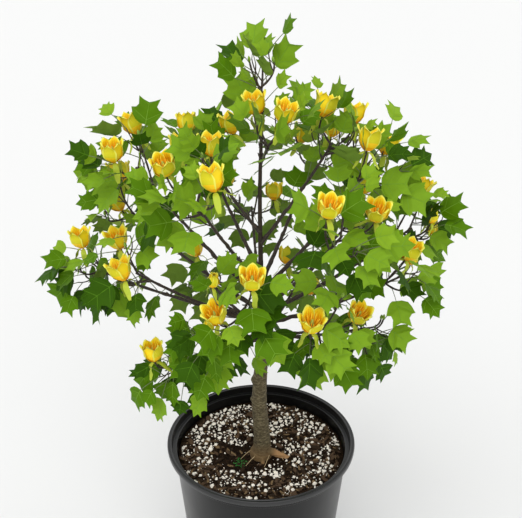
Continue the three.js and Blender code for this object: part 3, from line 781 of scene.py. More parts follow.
def outward(spot):
    """The way from the crown's heart to a spot."""
    return unit(spot - (0, 0, MIX["level"] + HEART))


def height_in_crown(spot):
    """0 at the height of the crown's heart, 1 at its top and -1 at its foot."""
    return (spot[2] - MIX["level"] - HEART) / CROWN_HALF


class Mass:
    """Where one mass of foliage sits: its hub, the way it faces, and the limb that feeds it."""

    def __init__(self, name, heading, reach, height, fork, shoots, blooms, spread, turn):
        self.name, self.fork, self.shoots = name, fork, shoots
        self.blooms, self.spread, self.turn = blooms, spread, turn
        self.hub = compass(heading) * reach + (0, 0, MIX["level"] + height)
        self.out = outward(self.hub)
        self.level = unit(np.cross(UP, self.out))
        self.across = np.cross(self.out, self.level)
        share = 1 if fork is None else fork / TRUNK["height"]
        foot = trunk_line.at(share)
        end = self.hub - self.out * STEM_END["inward"] - UP * STEM_END["down"]
        span = np.linalg.norm(end - foot)
        knee = (foot + end) / 2 - UP * BOUGH["sag"] * span
        if fork is None:
            knee = foot + trunk_line.way(share) * 0.4 * span
        self.enters = 0 if fork is None else BOUGH["enters"]
        self.line = bent(foot, knee, end)
        self.bough = self.line.part(0, max(self.enters, 0.01))
        self.stem = self.line.part(self.enters, 1)


def noded(radius_at, route, swell=NODES["swell"]):
    """A limb's radius with a slight swelling at each old node."""

    def radius(share):
        along = share * route.length % NODES["spacing"] - NODES["spacing"] / 2
        return radius_at(share) + swell * math.exp(-((along / NODES["long"]) ** 2))

    return radius


def wandering(route, amount, layer):
    """The same route, turning a little this way and that as it grew."""
    steps = max(6, int(route.length / 9))
    shares = np.linspace(0, 1, steps + 1)
    points = route.at(shares)
    for k, share in enumerate(shares):
        ease = math.sin(math.pi * share)
        points[k] += ease * amount * np.array([lumpy(k, layer, 1.7, n * 9.1) for n in range(3)])
    return flowing(points, 4)


masses = [Mass(name, *sizes) for name, sizes in MASSES.items()]
bough_skins = []
for number, mass in enumerate(masses):
    if mass.fork is None:
        continue
    mass.bough = wandering(mass.bough, 1.8, number * 3.3)
    foot_radius = min(BOUGH["foot"], 0.8 * trunk_radius(mass.fork / TRUNK["height"]))

    def bough_radius(share, foot=foot_radius, length=mass.bough.length):
        collar = BOUGH["collar"] * foot / BOUGH["foot"] * math.exp(-share * length / BOUGH["collar_long"])
        return between(foot, BOUGH["tip"], share) + collar

    steps = int(mass.bough.length / 2.5)
    points, faces = limb(mass.bough, noded(bough_radius, mass.bough), 12, steps)
    points += [[0.25 * lumpy(x + n * 50, y + z, 3, z / 5) for n in range(3)] for x, y, z in points]
    bough_skins.append((points, faces))
boughs = shape("boughs", plain(bough_skins), [YOUNG_BARK])
place(boughs, "bough_bark", *[mass.name + "_bough" for mass in masses if mass.fork is not None])

# ------------------------------------------------------------------------------------------- twigs
# This year's and last year's growth: a stem that carries each bough on, shoots that fan out from it
# and turn up to their blooms, side twigs on the shoots, and a few short bare spurs on the old wood.
TWIG = {"stem": 2.6, "shoot": 1.9, "tip": 1.3, "side_foot": 1.3, "side_tip": 0.9}
SHOOT = {"sway": 0.5, "first": 0.45, "spread": 0.5, "knee": 0.45}  # how it leans, springs and bends
SIDE_TWIGS = {
    "on_shoot": 1, "on_stem": 1, "shortest": 22, "longest": 44,
    "along": 0.5, "outward": 0.4, "turns_up": 0.35,
}
SPURS = {"on_bough": 2, "shortest": 9, "longest": 24, "foot": 1.6, "tip": 0.9}
FLOWER = {"height": 43, "rim": 20, "lean": 0.35}
GOLDEN_ANGLE = 137.5


def shoots_of(mass, roll):
    """Each shoot leaves the stem near the hub and turns up to its flower or end bud."""
    shoots = []
    for i in range(mass.shoots):
        angle = math.radians(mass.turn + 360 * i / mass.shoots)
        blooms = (i * mass.blooms) % mass.shoots < mass.blooms
        fan = mass.level * math.cos(angle) + mass.across * math.sin(angle)
        tip = mass.hub + fan * mass.spread
        lean = mass.out * (1, 1, 0) * FLOWER["lean"]
        sway = [(next(roll) - 0.5) * SHOOT["sway"] for _ in "xy"]
        axis = unit(np.array([*sway, 1]) + lean)
        end = tip - axis * FLOWER["height"] / 2
        share = SHOOT["first"] + SHOOT["spread"] * (i + 1) / mass.shoots
        foot = mass.line.at(between(mass.enters, 1, share))
        knee = end - axis * SHOOT["knee"] * np.linalg.norm(end - foot)
        shoots.append({"blooms": blooms, "axis": axis, "end": end, "line": bent(foot, knee, end)})
    return shoots


def side_of(way, angle):
    """A direction square to way, at an angle round it."""
    across = unit(np.cross(way, UP if abs(way[2]) < 0.9 else (1.0, 0, 0)))
    return across * math.cos(angle) + np.cross(way, across) * math.sin(angle)


def side_twig(route, share, angle, length):
    """A twig that leaves a route sideways and turns up and outward."""
    foot, way = route.at(share), route.way(share)
    out, turns_up = outward(foot), SIDE_TWIGS["turns_up"]
    start = unit(side_of(way, angle) + way * SIDE_TWIGS["along"] + out * SIDE_TWIGS["outward"])
    end = foot + length * unit(start + out * turns_up + UP * turns_up)
    return bent(foot, foot + start * length * 0.5, end, 10)


roll = dice(SEED)
for mass in masses:
    mass.shoot_list = shoots_of(mass, roll)
grow = dice(SEED + 1)
twig_skins = []
for mass in masses:
    stem_radius = tapering(TRUNK["tip"] if mass.fork is None else TWIG["stem"], TWIG["shoot"])
    mass.sides = []
    carriers = [(mass.stem, SIDE_TWIGS["on_stem"])]
    carriers += [(shoot["line"], SIDE_TWIGS["on_shoot"]) for shoot in mass.shoot_list]
    for route, count in carriers:
        start = next(grow) * 2 * math.pi
        for k in range(count):
            long = between(SIDE_TWIGS["shortest"], SIDE_TWIGS["longest"], next(grow))
            share = 0.3 + 0.5 * (k + next(grow)) / count
            angle = start + math.radians(GOLDEN_ANGLE) * k
            mass.sides.append(side_twig(route, share, angle, long))
    steps = int(mass.stem.length / 5)
    twig_skins.append(limb(mass.stem, noded(stem_radius, mass.stem, NODES["on_stem"]), 8, steps))
    for shoot in mass.shoot_list:
        line = shoot["line"]
        shoot_radius = noded(tapering(TWIG["shoot"], TWIG["tip"]), line, NODES["on_shoot"])
        twig_skins.append(limb(line, shoot_radius, 6, int(line.length / 5) + 2))
    side_radius = tapering(TWIG["side_foot"], TWIG["side_tip"])
    twig_skins += [limb(line, side_radius, 5, 6) for line in mass.sides]
    if mass.fork is None:
        continue
    for k in range(SPURS["on_bough"]):
        long = between(SPURS["shortest"], SPURS["longest"], next(grow))
        share = 0.3 + 0.6 * (k + next(grow)) / SPURS["on_bough"]
        spur = side_twig(mass.bough, share, 2 * math.pi * next(grow), long)
        twig_skins.append(limb(spur, tapering(SPURS["foot"], SPURS["tip"]), 5, 5))
FOLIAGE_NODES = [mass.name + "_foliage" for mass in masses]
place(shape("twigs", plain(twig_skins), [YOUNG_BARK]), "bough_bark", *FOLIAGE_NODES)

# ------------------------------------------------------------------------------------------ leaves
# Tulip tree leaves: four pointed lobes and a tip that is cut square or notched, thin and dull with wax
# above, paler below. Each hangs on a long slender stalk, a golden angle on from the last, and turns its
# face to the light, clear of its neighbours and of the blooms.
LEAF = {"longest": 51, "shortest": 34, "young": 22, "thick": 0.6, "half": 0.52, "reach": 0.62}
POINTED_SHARE = 0.35  # how many leaves have a pointed tip
YOUNG_SHARE = {"low": -0.35, "rise": 0.95, "top": 750}  # how many twigs end in a young leaf, by height
LEAF_STALK = {"longest": 44, "shortest": 20, "foot": 0.85, "end": 0.6, "sides": 4, "steps": 5}
LEAVES_ON = {  # how many, and between which shares of the twig
    "stem": (2, 0.3, 0.85), "shoot": (3, 0.3, 0.93), "side": (3, 0.35, 1.0), "bough": (2, 0.55, 0.95)
}
STALK_WAY = {"along": 0.35, "outward": 0.45, "up": 0.25}
BLADE_WAY = {"outward": 0.3, "low": -1.2, "middle": -0.7, "top": 0.6}  # how far blades hang or rise
BLADE_FACE = {"open": 0.5, "up": 0.5, "outward": 0.5, "sway": 1.5}  # what a blade's upper face turns to
BLADE_FORM = {  # the least and most of each bend
    "fold": (-0.05, 0.45), "droop": (0.05, 0.35), "curl": (0, 0.35), "wave": (0, 9), "twist": (-0.25, 0.25)
}
CLEARANCE = 2.0  # between a blade and whatever is next to it
# Two blades that lie nearly level with each other may not overlap much: how close, and how far beside.
LAYERED = {"nearly_level": 0.45, "close": 10, "beside": 0.42, "near": 35, "past": 0.25}
ROOM = 150  # how far from its hub a leaf may stand
INNER = 15  # how far beside its bough a leaf inside the crown may stand
MARCH = 25  # how much nearer a leaf may be to a neighbouring mass's hub than to its own
TRIES = 9  # how often a leaf's place is changed before it is left out
TRY_TURN = 43  # how far each try goes round the twig, in degrees
LEAF_SEED = 208
IN_FRONT = (28, 56, 86, 118)  # how far before a bloom's open side the leaves leave room for it
SPARSE_TOP = 740  # above this the twigs carry one leaf fewer
# Half outlines, across and along the leaf as shares of its length, from the stalk round to the tip.
NOTCHED = [
    (0.02, 0), (0.2, 0.02), (0.38, 0.13), (0.5, 0.3), (0.6, 0.54),
    (0.43, 0.57), (0.34, 0.68), (0.4, 0.98), (0.2, 0.87), (0, 0.8),
]
POINTED = [
    (0.02, 0), (0.2, 0.02), (0.37, 0.13), (0.48, 0.28), (0.58, 0.46),
    (0.42, 0.51), (0.33, 0.62), (0.43, 0.83), (0.2, 0.77), (0, 1.0),
]
VEINED = (4, 7)  # which points of the outline a side vein runs to
SIDE_VEIN_SLANT = 0.62  # how far a side vein climbs for each mm that it runs outward
SIDE_VEIN = [(0, 0.008), (0.5, 0.006), (0.92, 0.002)]  # shares of its way, and half widths there
MIDRIB = [(0, 0.015), (0.31, 0.012), (0.62, 0.009), (0.93, 0.004)]
RISE = {"side_vein": 0.005, "midrib_edge": 0.004, "midrib": 0.011}  # how far veins stand out
EDGE_WAVE = 0.06
BACK = 60  # beyond this the crown turns its face away from the front
# Upper greens: dealt by chance, and paler high in the crown and deeper low down as painted light from
# above.
UPPER_FACES = [("leaf_deep", "#2f5004"), ("leaf_green", "#4c7206"), ("leaf_bright", "#71951f")]
YOUNG_FACE = ("leaf_young", "#7a9c22")
UNDERSIDES = [("leaf_underside", "#6d8a34"), ("young_leaf_underside", "#94af3e")]
VEINS = [("leaf_vein_dark", "#4f7a18"), ("leaf_vein", "#6f9630")]


def leaf_surface(name, code, roughness):
    """A leaf's skin: waxed, so a broad dull shine, with a slightly uneven green."""
    material, tree, shader = surface(name, code, roughness, 1.4, 0.08)
    where = add(tree, "ShaderNodeTexCoord").outputs["Object"]
    uneven = add(tree, "ShaderNodeTexNoise", Vector=where, Scale=1 / (14 * MM), Detail=3.0)
    shade = add(tree, "ShaderNodeMapRange", Value=uneven, To_Min=0.86, To_Max=1.16)
    green = colour(code)[:3]
    tone = add(tree, "ShaderNodeVectorMath", {"operation": "SCALE"}, in_0=green, Scale=shade)
    wire(tree, shader, Base_Color=tone)
    return material


LEAF_FINISHES = [leaf_surface(name, code, 0.5) for name, code in [*UPPER_FACES, YOUNG_FACE]]
LEAF_FINISHES += [leaf_surface(name, code, 0.6) for name, code in UNDERSIDES]
LEAF_FINISHES += [leaf_surface(name, code, 0.5) for name, code in VEINS]
YOUNG, UNDER, VEIN = 3, 4, 6


def from_axes(base, side, forward, normal, flat):
    """Points given across, along and above a leaf, set where the leaf is."""
    x, y, z = flat.T
    return base + np.outer(x, side) + np.outer(y, forward) + np.outer(z, normal)


def segment_gap(points, a, b):
    """How far each point is from the line piece a to b. Works on many at once."""
    way = b - a
    share = np.clip(np.sum((points - a) * way, -1) / np.maximum(np.sum(way * way, -1), 1e-9), 0, 1)
    return np.linalg.norm(points - (a + way * share[..., None]), axis=-1)


class Room:
    """What is in a leaf's way: other blades, straight runs of wood and stalk, and blooms."""

    def __init__(self):
        self.runs, self.blades = [], []

    def add_route(self, route, radius, owner, pieces):
        points = route.at(np.linspace(0, 1, pieces + 1))
        self.runs += [(a, b, radius, owner) for a, b in zip(points, points[1:])]

    def settle_runs(self):
        self.a, self.b, self.r, self.owner = (np.array(column) for column in zip(*self.runs))
        self.centres = np.array([leaf["centre"] for leaf in self.blades]).reshape(-1, 3)
        self.normals = np.array([leaf["normal"] for leaf in self.blades]).reshape(-1, 3)
        self.lengths = np.array([leaf["length"] for leaf in self.blades])

    def meets_wood(self, centre, normal, length, a, b, r):
        """Whether runs from a to b pass through the round of blades. Each may be one or many."""
        margin = r + CLEARANCE
        off_a = np.sum((a - centre) * normal, -1)
        off_b = np.sum((b - centre) * normal, -1)
        span = np.where(np.abs(off_b - off_a) < 1e-9, 1, off_b - off_a)
        low = np.clip((-margin - off_a) / span, 0, 1)[..., None]
        high = np.clip((margin - off_a) / span, 0, 1)[..., None]
        near = segment_gap(centre, a + (b - a) * low, a + (b - a) * high)
        apart = (np.minimum(off_a, off_b) > margin) | (np.maximum(off_a, off_b) < -margin)
        return ~apart & (near < LEAF["half"] * length + margin)

    def fits(self, leaf, mass, inside):
        """Whether a leaf keeps to its mass and clear of wood, blooms, stalks and other blades."""
        own = np.linalg.norm(leaf["centre"] - mass.hub)
        hubs_near = np.linalg.norm(HUBS - leaf["centre"], axis=1) < own - MARCH
        low, high = mass.inner_box if inside else mass.box
        if not inside and (own > ROOM or np.any(hubs_near)):
            return False
        if np.any(leaf["ring"] < low) or np.any(leaf["ring"] > high):
            return False
        centre, normal, length = leaf["centre"], leaf["normal"], leaf["length"]
        if np.any(self.meets_wood(centre, normal, length, self.a, self.b, self.r)):
            return False
        to_cup = self.cup_centres - centre
        off = to_cup @ normal
        across = np.sqrt(np.maximum(np.sum(to_cup ** 2, 1) - off ** 2, 0))
        reach = LEAF["half"] * length + 0.8 * np.sqrt(np.maximum(self.cup_radii ** 2 - off ** 2, 0))
        if np.any((np.abs(off) < self.cup_radii + CLEARANCE) & (across < reach)):
            return False
        others = self.owner != mass.name
        for spot in leaf["stalk"].at(np.linspace(0.3, 1, 5)):
            gaps = segment_gap(spot, self.a[others], self.b[others])
            if np.any(gaps < self.r[others] + LEAF_STALK["foot"] + 1):
                return False
        if not len(self.centres):
            return True
        a, b = leaf["stalk"].at(0), leaf["stalk"].at(1)
        if np.any(self.meets_wood(self.centres, self.normals, self.lengths, a, b, LEAF_STALK["foot"])):
            return False
        near = np.linalg.norm(self.centres - centre, axis=1) < LEAF["reach"] * (self.lengths + length)
        return not any(blades_meet(leaf, self.blades[i]) for i in np.flatnonzero(near))


def shadow_on(ring, normal, centre, line):
    """The span of a flat outline that lies on another plane, measured along where the planes cross."""
    off = (ring - centre) @ normal
    places = ring @ line
    after = np.roll(off, -1)
    found = list(places[np.abs(off) < CLEARANCE])
    crossing = off * after < 0
    share = off[crossing] / (off[crossing] - after[crossing])
    found.extend(places[crossing] + share * (np.roll(places, -1)[crossing] - places[crossing]))
    return (min(found), max(found)) if found else (math.inf, -math.inf)


def blades_meet(p, q):
    """Whether two blades cross, or lie too nearly on top of each other."""
    line = np.cross(p["normal"], q["normal"])
    if np.linalg.norm(line) < LAYERED["nearly_level"]:
        step = q["centre"] - p["centre"]
        off = abs(step @ p["normal"])
        beside = math.sqrt(max(step @ step - off * off, 0)) / (p["length"] + q["length"])
        return beside < (LAYERED["beside"] if off < LAYERED["close"] else LAYERED["past"]) and (
            off < LAYERED["near"]
        )
    line = unit(line)
    low_p, high_p = shadow_on(p["ring"], q["normal"], q["centre"], line)
    low_q, high_q = shadow_on(q["ring"], p["normal"], p["centre"], line)
    return max(low_p, low_q) < min(high_p, high_q) + CLEARANCE


def leaf_at(route, share, angle, size):
    """A leaf's place. Stalks reach outward, blades hang more the lower they are and face the light."""
    root, along = route.at(share), route.way(share)
    high, away = height_in_crown(root), outward(root)
    way = side_of(along, angle) + along * STALK_WAY["along"] + away * STALK_WAY["outward"]
    way = unit(way + UP * STALK_WAY["up"] * high)
    base = root + way * size["stalk_length"]
    lift = np.interp(high, [-1, 0, 1], [BLADE_WAY["low"], BLADE_WAY["middle"], BLADE_WAY["top"]])
    forward = unit(way + away * BLADE_WAY["outward"] + UP * lift)
    front = -1 if root[1] < BACK else 1
    light = np.array([size["sway"], BLADE_FACE["open"] * front, BLADE_FACE["up"] + size["nod"]])
    light = light + away * BLADE_FACE["outward"]
    normal = unit(light - forward * (light @ forward))
    side = np.cross(forward, normal)
    half = np.array(POINTED if size["pointed"] else NOTCHED)
    outline = np.vstack([half, (half * (-1, 1))[-2::-1]]) * size["length"]
    flat = np.column_stack([outline, np.zeros(len(outline))])
    return {
        **size,
        "ring": from_axes(base, side, forward, normal, flat),
        "centre": base + forward * size["length"] / 2,
        "stalk": bent(root, root + way * size["stalk_length"] * 0.6 + UP * 2, base, 8),
        "axes": (base, side, forward, normal),
        "normal": normal,
        "half": half,
    }


def dress(route, kind, mass, roll, room):
    """Leaves round a twig. One that doesn't fit is tried a little further round."""
    count, start, end = LEAVES_ON[kind]
    count -= mass.hub[2] > MIX["level"] + SPARSE_TOP
    turn = next(roll) * 2 * math.pi
    top = MIX["level"] + YOUNG_SHARE["top"]
    young_share = YOUNG_SHARE["low"] + YOUNG_SHARE["rise"] * route.at(1)[2] / top
    for k in range(count):
        young = k == 0 and next(roll) < young_share
        short, long = (LEAF["young"], LEAF["shortest"]) if young else (LEAF["shortest"], LEAF["longest"])
        size = {
            "length": between(short, long, next(roll)),
            "stalk_length": between(LEAF_STALK["shortest"], LEAF_STALK["longest"], next(roll)),
            "sway": (next(roll) - 0.5) * BLADE_FACE["sway"],
            "nod": (next(roll) - 0.5) * BLADE_FACE["sway"],
            "pointed": next(roll) < POINTED_SHARE,
            "young": young,
            "tone": next(roll),
            "form": [between(*span, next(roll)) for span in BLADE_FORM.values()],
        }
        share = end + (start - end) * k / max(count - 1, 1)
        for attempt in range(TRIES):
            angle = turn + math.radians(GOLDEN_ANGLE * k + TRY_TURN * attempt)
            if attempt == TRIES // 2:
                size["length"] = max(size["length"] * 0.8, LEAF["young"])
            leaf = leaf_at(route, share, angle, size)
            if room.fits(leaf, mass, kind == "bough"):
                room.blades.append(leaf)
                room.add_route(leaf["stalk"], LEAF_STALK["foot"], mass.name, 1)
                room.settle_runs()
                break


def leaf_mesh(leaf):
    """The blade's upper and lower skins, which meet at its edge, with a midrib and four side veins."""
    fold, droop, curl, wave, twist = leaf["form"]
    half = leaf["half"]
    last = len(half) - 1
    rib = np.clip(half[:, 1] - SIDE_VEIN_SLANT * half[:, 0], 0, half[last, 1])
    rib[0] = 0

    def lifted(x, y, k):
        edge = EDGE_WAVE * math.sin(wave + 2.3 * k) * abs(x)
        return fold * abs(x) * (1 - 0.4 * y) - droop * y * y - curl * x * x + twist * x * y + edge

    points, upper, under, veins = [], [], [], []
    for hand in (1, -1):
        start = len(points)
        for k, (x, y) in enumerate(half):
            on_rib = np.array([0, rib[k], lifted(0, rib[k], k)])
            at_edge = np.array([hand * x, y, lifted(hand * x, y, k)])
            points.extend([on_rib, at_edge, on_rib - (0, 0, LEAF["thick"] / leaf["length"])])
        for k in range(last):
            i, j = start + 3 * k, start + 3 * (k + 1)
            for quad, group in [((i, i + 1, j + 1, j), upper), ((i + 2, j + 2, j + 1, i + 1), under)]:
                group.append(quad if hand > 0 else quad[::-1])
        for k in VEINED:
            foot, tip = points[start + 3 * k], points[start + 3 * k + 1]
            edge = unit(np.cross((0, 0, 1), tip - foot)) * hand
            n = len(points)
            for share, wide in SIDE_VEIN:
                high = foot + (tip - foot) * share + (0, 0, RISE["side_vein"])
                points.extend([high - edge * wide, high + edge * wide])
            for i in (n, n + 2):
                quad = (i, i + 1, i + 3, i + 2)
                veins.append(quad[::-1] if hand > 0 else quad)
    n = len(points)
    for share, wide in MIDRIB:
        y = half[last, 1] * share
        z = lifted(0, y, 0)
        low = z + RISE["midrib_edge"]
        points.extend([(wide, y, low), (0, y, z + RISE["midrib"]), (-wide, y, low)])
    for i in (n, n + 3, n + 6):
        veins.extend([(i, i + 3, i + 4, i + 1), (i + 1, i + 4, i + 5, i + 2)])
    if leaf["young"]:
        skin, below = YOUNG, UNDER + 1
    else:
        # A chance tone plus painted light from above: paler high in the crown, deeper low down; dark veins
        # go with the deepest.
        tone_and_painted_light = 3 * leaf["tone"] + 0.9 * height_in_crown(leaf["centre"])
        skin, below = int(np.clip(tone_and_painted_light, 0, 2.9)), UNDER
    set_out = from_axes(*leaf["axes"], np.array(points) * leaf["length"])
    return set_out, [(upper, skin), (under, below), (veins, VEIN if skin == 0 else VEIN + 1)]


room = Room()
room.add_route(trunk_line, TRUNK["at_fork"], "trunk", 12)
cups = []
for mass in masses:
    low, high = (np.array(corner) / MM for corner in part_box(mass.name + "_foliage"))
    mass.box = np.clip([low - 5, high + 5], np.array(cad_box[0]) / MM + 1, np.array(cad_box[1]) / MM - 1)
    room.add_route(mass.stem, TWIG["stem"], mass.name, 3)
    if mass.fork is not None:
        corners = np.array([*mass.box, *mass.bough.points])
        mass.inner_box = np.array([corners.min(axis=0) - INNER, corners.max(axis=0) + INNER])
        room.add_route(mass.bough, BOUGH["foot"], mass.name + "_bough", 5)
    for shoot in mass.shoot_list:
        room.add_route(shoot["line"], TWIG["shoot"], mass.name, 3)
        if shoot["blooms"]:
            centre = shoot["end"] + shoot["axis"] * FLOWER["height"] / 2
            open_way = unit(np.array([0, -1 if mass.hub[1] < BACK else 1, 0.4]) + mass.out * 0.4)
            cups.append((centre, math.hypot(FLOWER["height"] / 2, FLOWER["rim"])))
            cups += [(centre + open_way * far, FLOWER["rim"] * 0.75) for far in IN_FRONT]
    for line in mass.sides:
        room.add_route(line, TWIG["side_foot"], mass.name, 2)
HUBS = np.array([mass.hub for mass in masses])
room.cup_centres, room.cup_radii = (np.array(column) for column in zip(*cups))
room.settle_runs()
roll = dice(LEAF_SEED)
for kind in ("shoot", "side", "stem", "bough"):
    for mass in masses:
        routes = {
            "shoot": [shoot["line"] for shoot in mass.shoot_list],
            "side": mass.sides,
            "stem": [mass.stem],
            "bough": [] if mass.fork is None else [mass.bough],
        }[kind]
        for route in routes:
            dress(route, kind, mass, roll, room)
leaves = shape("leaves", [leaf_mesh(leaf) for leaf in room.blades], LEAF_FINISHES)
leaves.data.set_sharp_from_angle(angle=math.radians(14))
place(leaves, "foliage", *FOLIAGE_NODES)

# Slender and stiff stalks, green flushed with dark purple where the sun reaches them.
stalk_skin, _, _ = surface("leaf_stalks", "#5f6b40", 0.5, 1.45)
stalk_radius = tapering(LEAF_STALK["foot"], LEAF_STALK["end"])
sides, steps = LEAF_STALK["sides"], LEAF_STALK["steps"]
stalks = [limb(leaf["stalk"], stalk_radius, sides, steps) for leaf in room.blades]
place(shape("leaf_stalks", plain(stalks), [stalk_skin]), "foliage", *FOLIAGE_NODES)

# ------------------------------------------------------------------------------------------ blooms
# Cup-shaped flowers that stand upright at the shoot tips. Six waxy petals, three outside three, are
# yellow with a paler edge, orange towards the foot and greenish on the back. Below them three sepals
# hang down, and inside a ring of stamens stands round a pointed cone.
PETAL = {"height": 36.5, "foot": 5, "belly": 16.5, "rim": 19, "wide": 11.8, "thick": 0.7, "inset": 1.6}
PETAL_ACROSS = (-1, -0.8, -0.3, 0.3, 0.8, 1)
PETAL_UP = (0, 0.17, 0.38, 0.6, 0.79, 0.93, 1)
SEPAL = {"long": 31, "wide": 4.8, "thick": 0.6, "least_hang": 28, "most_hang": 83}
STREAKS = {"across": (-0.42, 0, 0.42), "from": 0.25, "to": 0.86, "wide": 0.095, "off": 0.5}
STAMENS = {"count": 20, "foot": 3.5, "top": 11, "inner_top": 0.66, "height": 27, "thick": 1.25}
CONE = {"height": 25, "radius": 3.6}
OPENED = {"bud": 0.3, "least": 0.8, "most": 1.1}  # how wide the cup's rim stands
BUD_SHARE = 0.16  # of the shoots that don't flower, how many carry a closed flower bud
BUD_SIZE = (0.62, 0.62, 0.72)
END_BUD = {"long": 9, "wide": 2.6}
# Petals are soft and waxy, with a low satin shine.
YELLOW, EDGE, AMBER, ORANGE, BACK_GREEN, SEPAL_GREEN, STAMEN, ANTHER, CONE_GREEN, BUD_GREEN = range(10)
BLOOM_CODES = {
    "petal_yellow": "#f0d21e", "petal_edge": "#e8e55c", "petal_amber": "#f9cb1c",
    "petal_orange": "#f3aa12", "petal_back_green": "#d8ce22", "sepal_green": "#adbd38",
    "stamen_amber": "#f4a512", "stamen_yellow": "#fdd636", "cone_green": "#a9b64c", "bud_green": "#7f9f3c",
}
BLOOM_FINISHES = [surface(name, code, 0.5, 1.4, 0.3)[0] for name, code in BLOOM_CODES.items()]


def set_on(end, axis, turn, points):
    """Points given round an upright axis, set on a shoot's end and turned about its own axis."""
    across = side_of(axis, turn)
    return end + np.array(points) @ np.array([across, np.cross(axis, across), axis])


def sheet_pair(grid, thick, wide, tall):
    """The inner and outer skins of a petal from one grid of points. They meet at its edge."""
    grid = np.array(grid)
    inward = grid * (-1, -1, 0)
    inward /= np.maximum(np.linalg.norm(inward, axis=-1, keepdims=True), 1e-6)
    edge = np.zeros((tall, wide, 1), bool)
    edge[:, [0, -1]] = True
    edge[-1] = True
    inner = np.where(edge, grid, grid + inward * thick)
    points = np.vstack([grid.reshape(-1, 3), inner.reshape(-1, 3)])
    outside, inside = [], []
    for row in range(tall - 1):
        for i in range(wide - 1):
            a, b = row * wide + i, row * wide + i + 1
            outside.append((a, b, b + wide, a + wide))
            inside.append(tuple(v + tall * wide for v in (a, a + wide, b + wide, b)))
    return points, outside, inside


def petal(angle, opened, outer, wobble):
    """One petal's points and its faces dealt out by colour, with streaks on its inside."""

    def skin(u, v, inward=0.0):
        # Low down it swells to the cup's belly, and from there it goes out or in to the rim.
        r = between(PETAL["foot"], PETAL["belly"], math.sin(min(v / 0.42, 1) * math.pi / 2))
        r += (PETAL["rim"] * opened - PETAL["belly"]) * max(0, (v - 0.35) / 0.65) ** 1.3
        r -= 0 if outer else PETAL["inset"]
        wide = PETAL["wide"] * between(0.42, 1, math.sin(min(v / 0.5, 1) * math.pi / 2))
        wide *= max(1 - (max(v - 0.6, 0) / 0.4) ** 2.2, 0.06)  # the rounded tip
        phi = angle + min(wide / max(r, 4), 1.15) * u
        # Its edges and tip stand off from the round of the cup, and its middle is hollow.
        flare = 1.8 * (abs(u) ** 3) * v - 1.2 * (1 - u * u) * v + 1.5 * max(v - 0.8, 0) / 0.2
        z = PETAL["height"] * (v - 0.07 * abs(u) ** 2 * v) + wobble * v * 3
        return (r + flare - inward) * math.cos(phi), (r + flare - inward) * math.sin(phi), z

    grid = [[skin(u, v) for u in PETAL_ACROSS] for v in PETAL_UP]
    wide, tall = len(PETAL_ACROSS), len(PETAL_UP)
    points, outside, inside = sheet_pair(grid, PETAL["thick"], wide, tall)
    groups = {number: [] for number in (YELLOW, EDGE, AMBER, ORANGE, BACK_GREEN)}
    for faces, is_outside in ((outside, True), (inside, False)):
        for n, face in enumerate(faces):
            row, column = divmod(n, wide - 1)
            if column in (0, wide - 2) or row == tall - 2:
                paint = EDGE if row > 0 else YELLOW
            elif is_outside:
                paint = (ORANGE, AMBER)[row] if row < 2 else BACK_GREEN if outer and row < 5 else YELLOW
            else:
                paint = ORANGE if row < 1 else AMBER if row < 3 else YELLOW
            groups[paint].append(face)
    deep = PETAL["thick"] + STREAKS["off"]
    for across in STREAKS["across"]:
        n = len(points)
        streak = []
        for share, wide in ((0, 0.6), (0.55, 1), (1, 0.1)):
            v = between(STREAKS["from"], STREAKS["to"], share)
            streak += [skin(across + side * STREAKS["wide"] * wide, v, deep) for side in (-1, 1)]
        points = np.vstack([points, streak])
        groups[ORANGE] += [(i, i + 2, i + 3, i + 1) for i in (n, n + 2)]
    return points, [(faces, number) for number, faces in groups.items() if faces]


def sepal(angle, hang):
    """A tongue that leaves the flower's foot and curls down."""
    grid, rows = [], 6
    for v in np.linspace(0, 1, rows):
        bend = hang * min(v * 1.8, 1)
        out = 4 + SEPAL["long"] * (v * math.cos(bend) if v else 0)
        down = -1 - SEPAL["long"] * v * math.sin(bend)
        wide = SEPAL["wide"] * math.sin(math.pi * (0.16 + 0.79 * v)) ** 0.55
        grid.append([turn_by(angle, out, wide * u, down - 1.2 * abs(u)) for u in (-1, 0, 1)])
    points, outside, inside = sheet_pair(grid, 0, 3, rows)
    points[3 * rows:, 2] += SEPAL["thick"] * np.tile([0, 1, 0], rows)  # it is thickest along its middle
    return points, [(outside + inside, SEPAL_GREEN)]


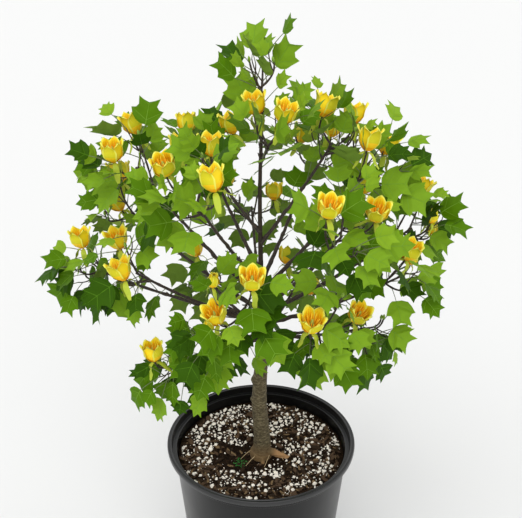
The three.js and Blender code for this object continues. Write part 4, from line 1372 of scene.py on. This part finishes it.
def turn_by(angle, x, y, z):
    """A point turned about the upright axis."""
    return x * math.cos(angle) - y * math.sin(angle), x * math.sin(angle) + y * math.cos(angle), z


def spindle(foot, tip, radius, number, sides=4):
    """A slim closed body, widest a third of the way up: a stamen, the cone or a bud."""
    route = Route([foot, (np.array(foot) + tip) / 2, tip])
    swelling = lambda share: radius * math.sin(math.pi * (0.12 + 0.8 * share)) ** 0.8
    points, faces = limb(route, swelling, sides, 3)
    return points, [(faces, number)]


bloom_parts = []
roll = dice(SEED + 3)
for mass in masses:
    for shoot in mass.shoot_list:
        turn = next(roll) * 2 * math.pi
        draws = [next(roll) for _ in range(8)]
        bud = not shoot["blooms"] and draws[0] < BUD_SHARE
        end, axis = shoot["end"], shoot["axis"]
        if not shoot["blooms"] and not bud:
            bloom_parts.append(spindle(end, end + axis * END_BUD["long"], END_BUD["wide"], BUD_GREEN, 6))
            continue
        opened = OPENED["bud"] if bud else between(OPENED["least"], OPENED["most"], draws[1])
        flower = [petal(k * math.pi / 3, opened, k % 2 == 0, draws[2 + k % 3] - 0.5) for k in range(6)]
        for k in range(3):
            hang = between(SEPAL["least_hang"], SEPAL["most_hang"], draws[5 + k % 3])
            flower.append(sepal(k * 2 * math.pi / 3 + 0.5, math.radians(hang)))
        if bud:
            flower = [(points * BUD_SIZE, groups) for points, groups in flower]
        else:
            flower.append(spindle((0, 0, 2), (0, 0, CONE["height"]), CONE["radius"], CONE_GREEN, 6))
            for k in range(STAMENS["count"]):
                phi = 2 * math.pi * k / STAMENS["count"]
                ring = np.array([math.cos(phi), math.sin(phi), 0])
                foot = ring * STAMENS["foot"] + (0, 0, 2)
                far = STAMENS["top"] * opened * (1 if k % 2 else STAMENS["inner_top"])
                tall = STAMENS["height"] * (0.85 + 0.3 * ((k * 7) % 5) / 5)
                finish = ANTHER if k % 2 else STAMEN
                flower.append(spindle(foot, ring * far + (0, 0, tall), STAMENS["thick"], finish))
        bloom_parts.extend((set_on(end, axis, turn, points), groups) for points, groups in flower)
place(shape("blooms", bloom_parts, BLOOM_FINISHES), "foliage", *FOLIAGE_NODES)
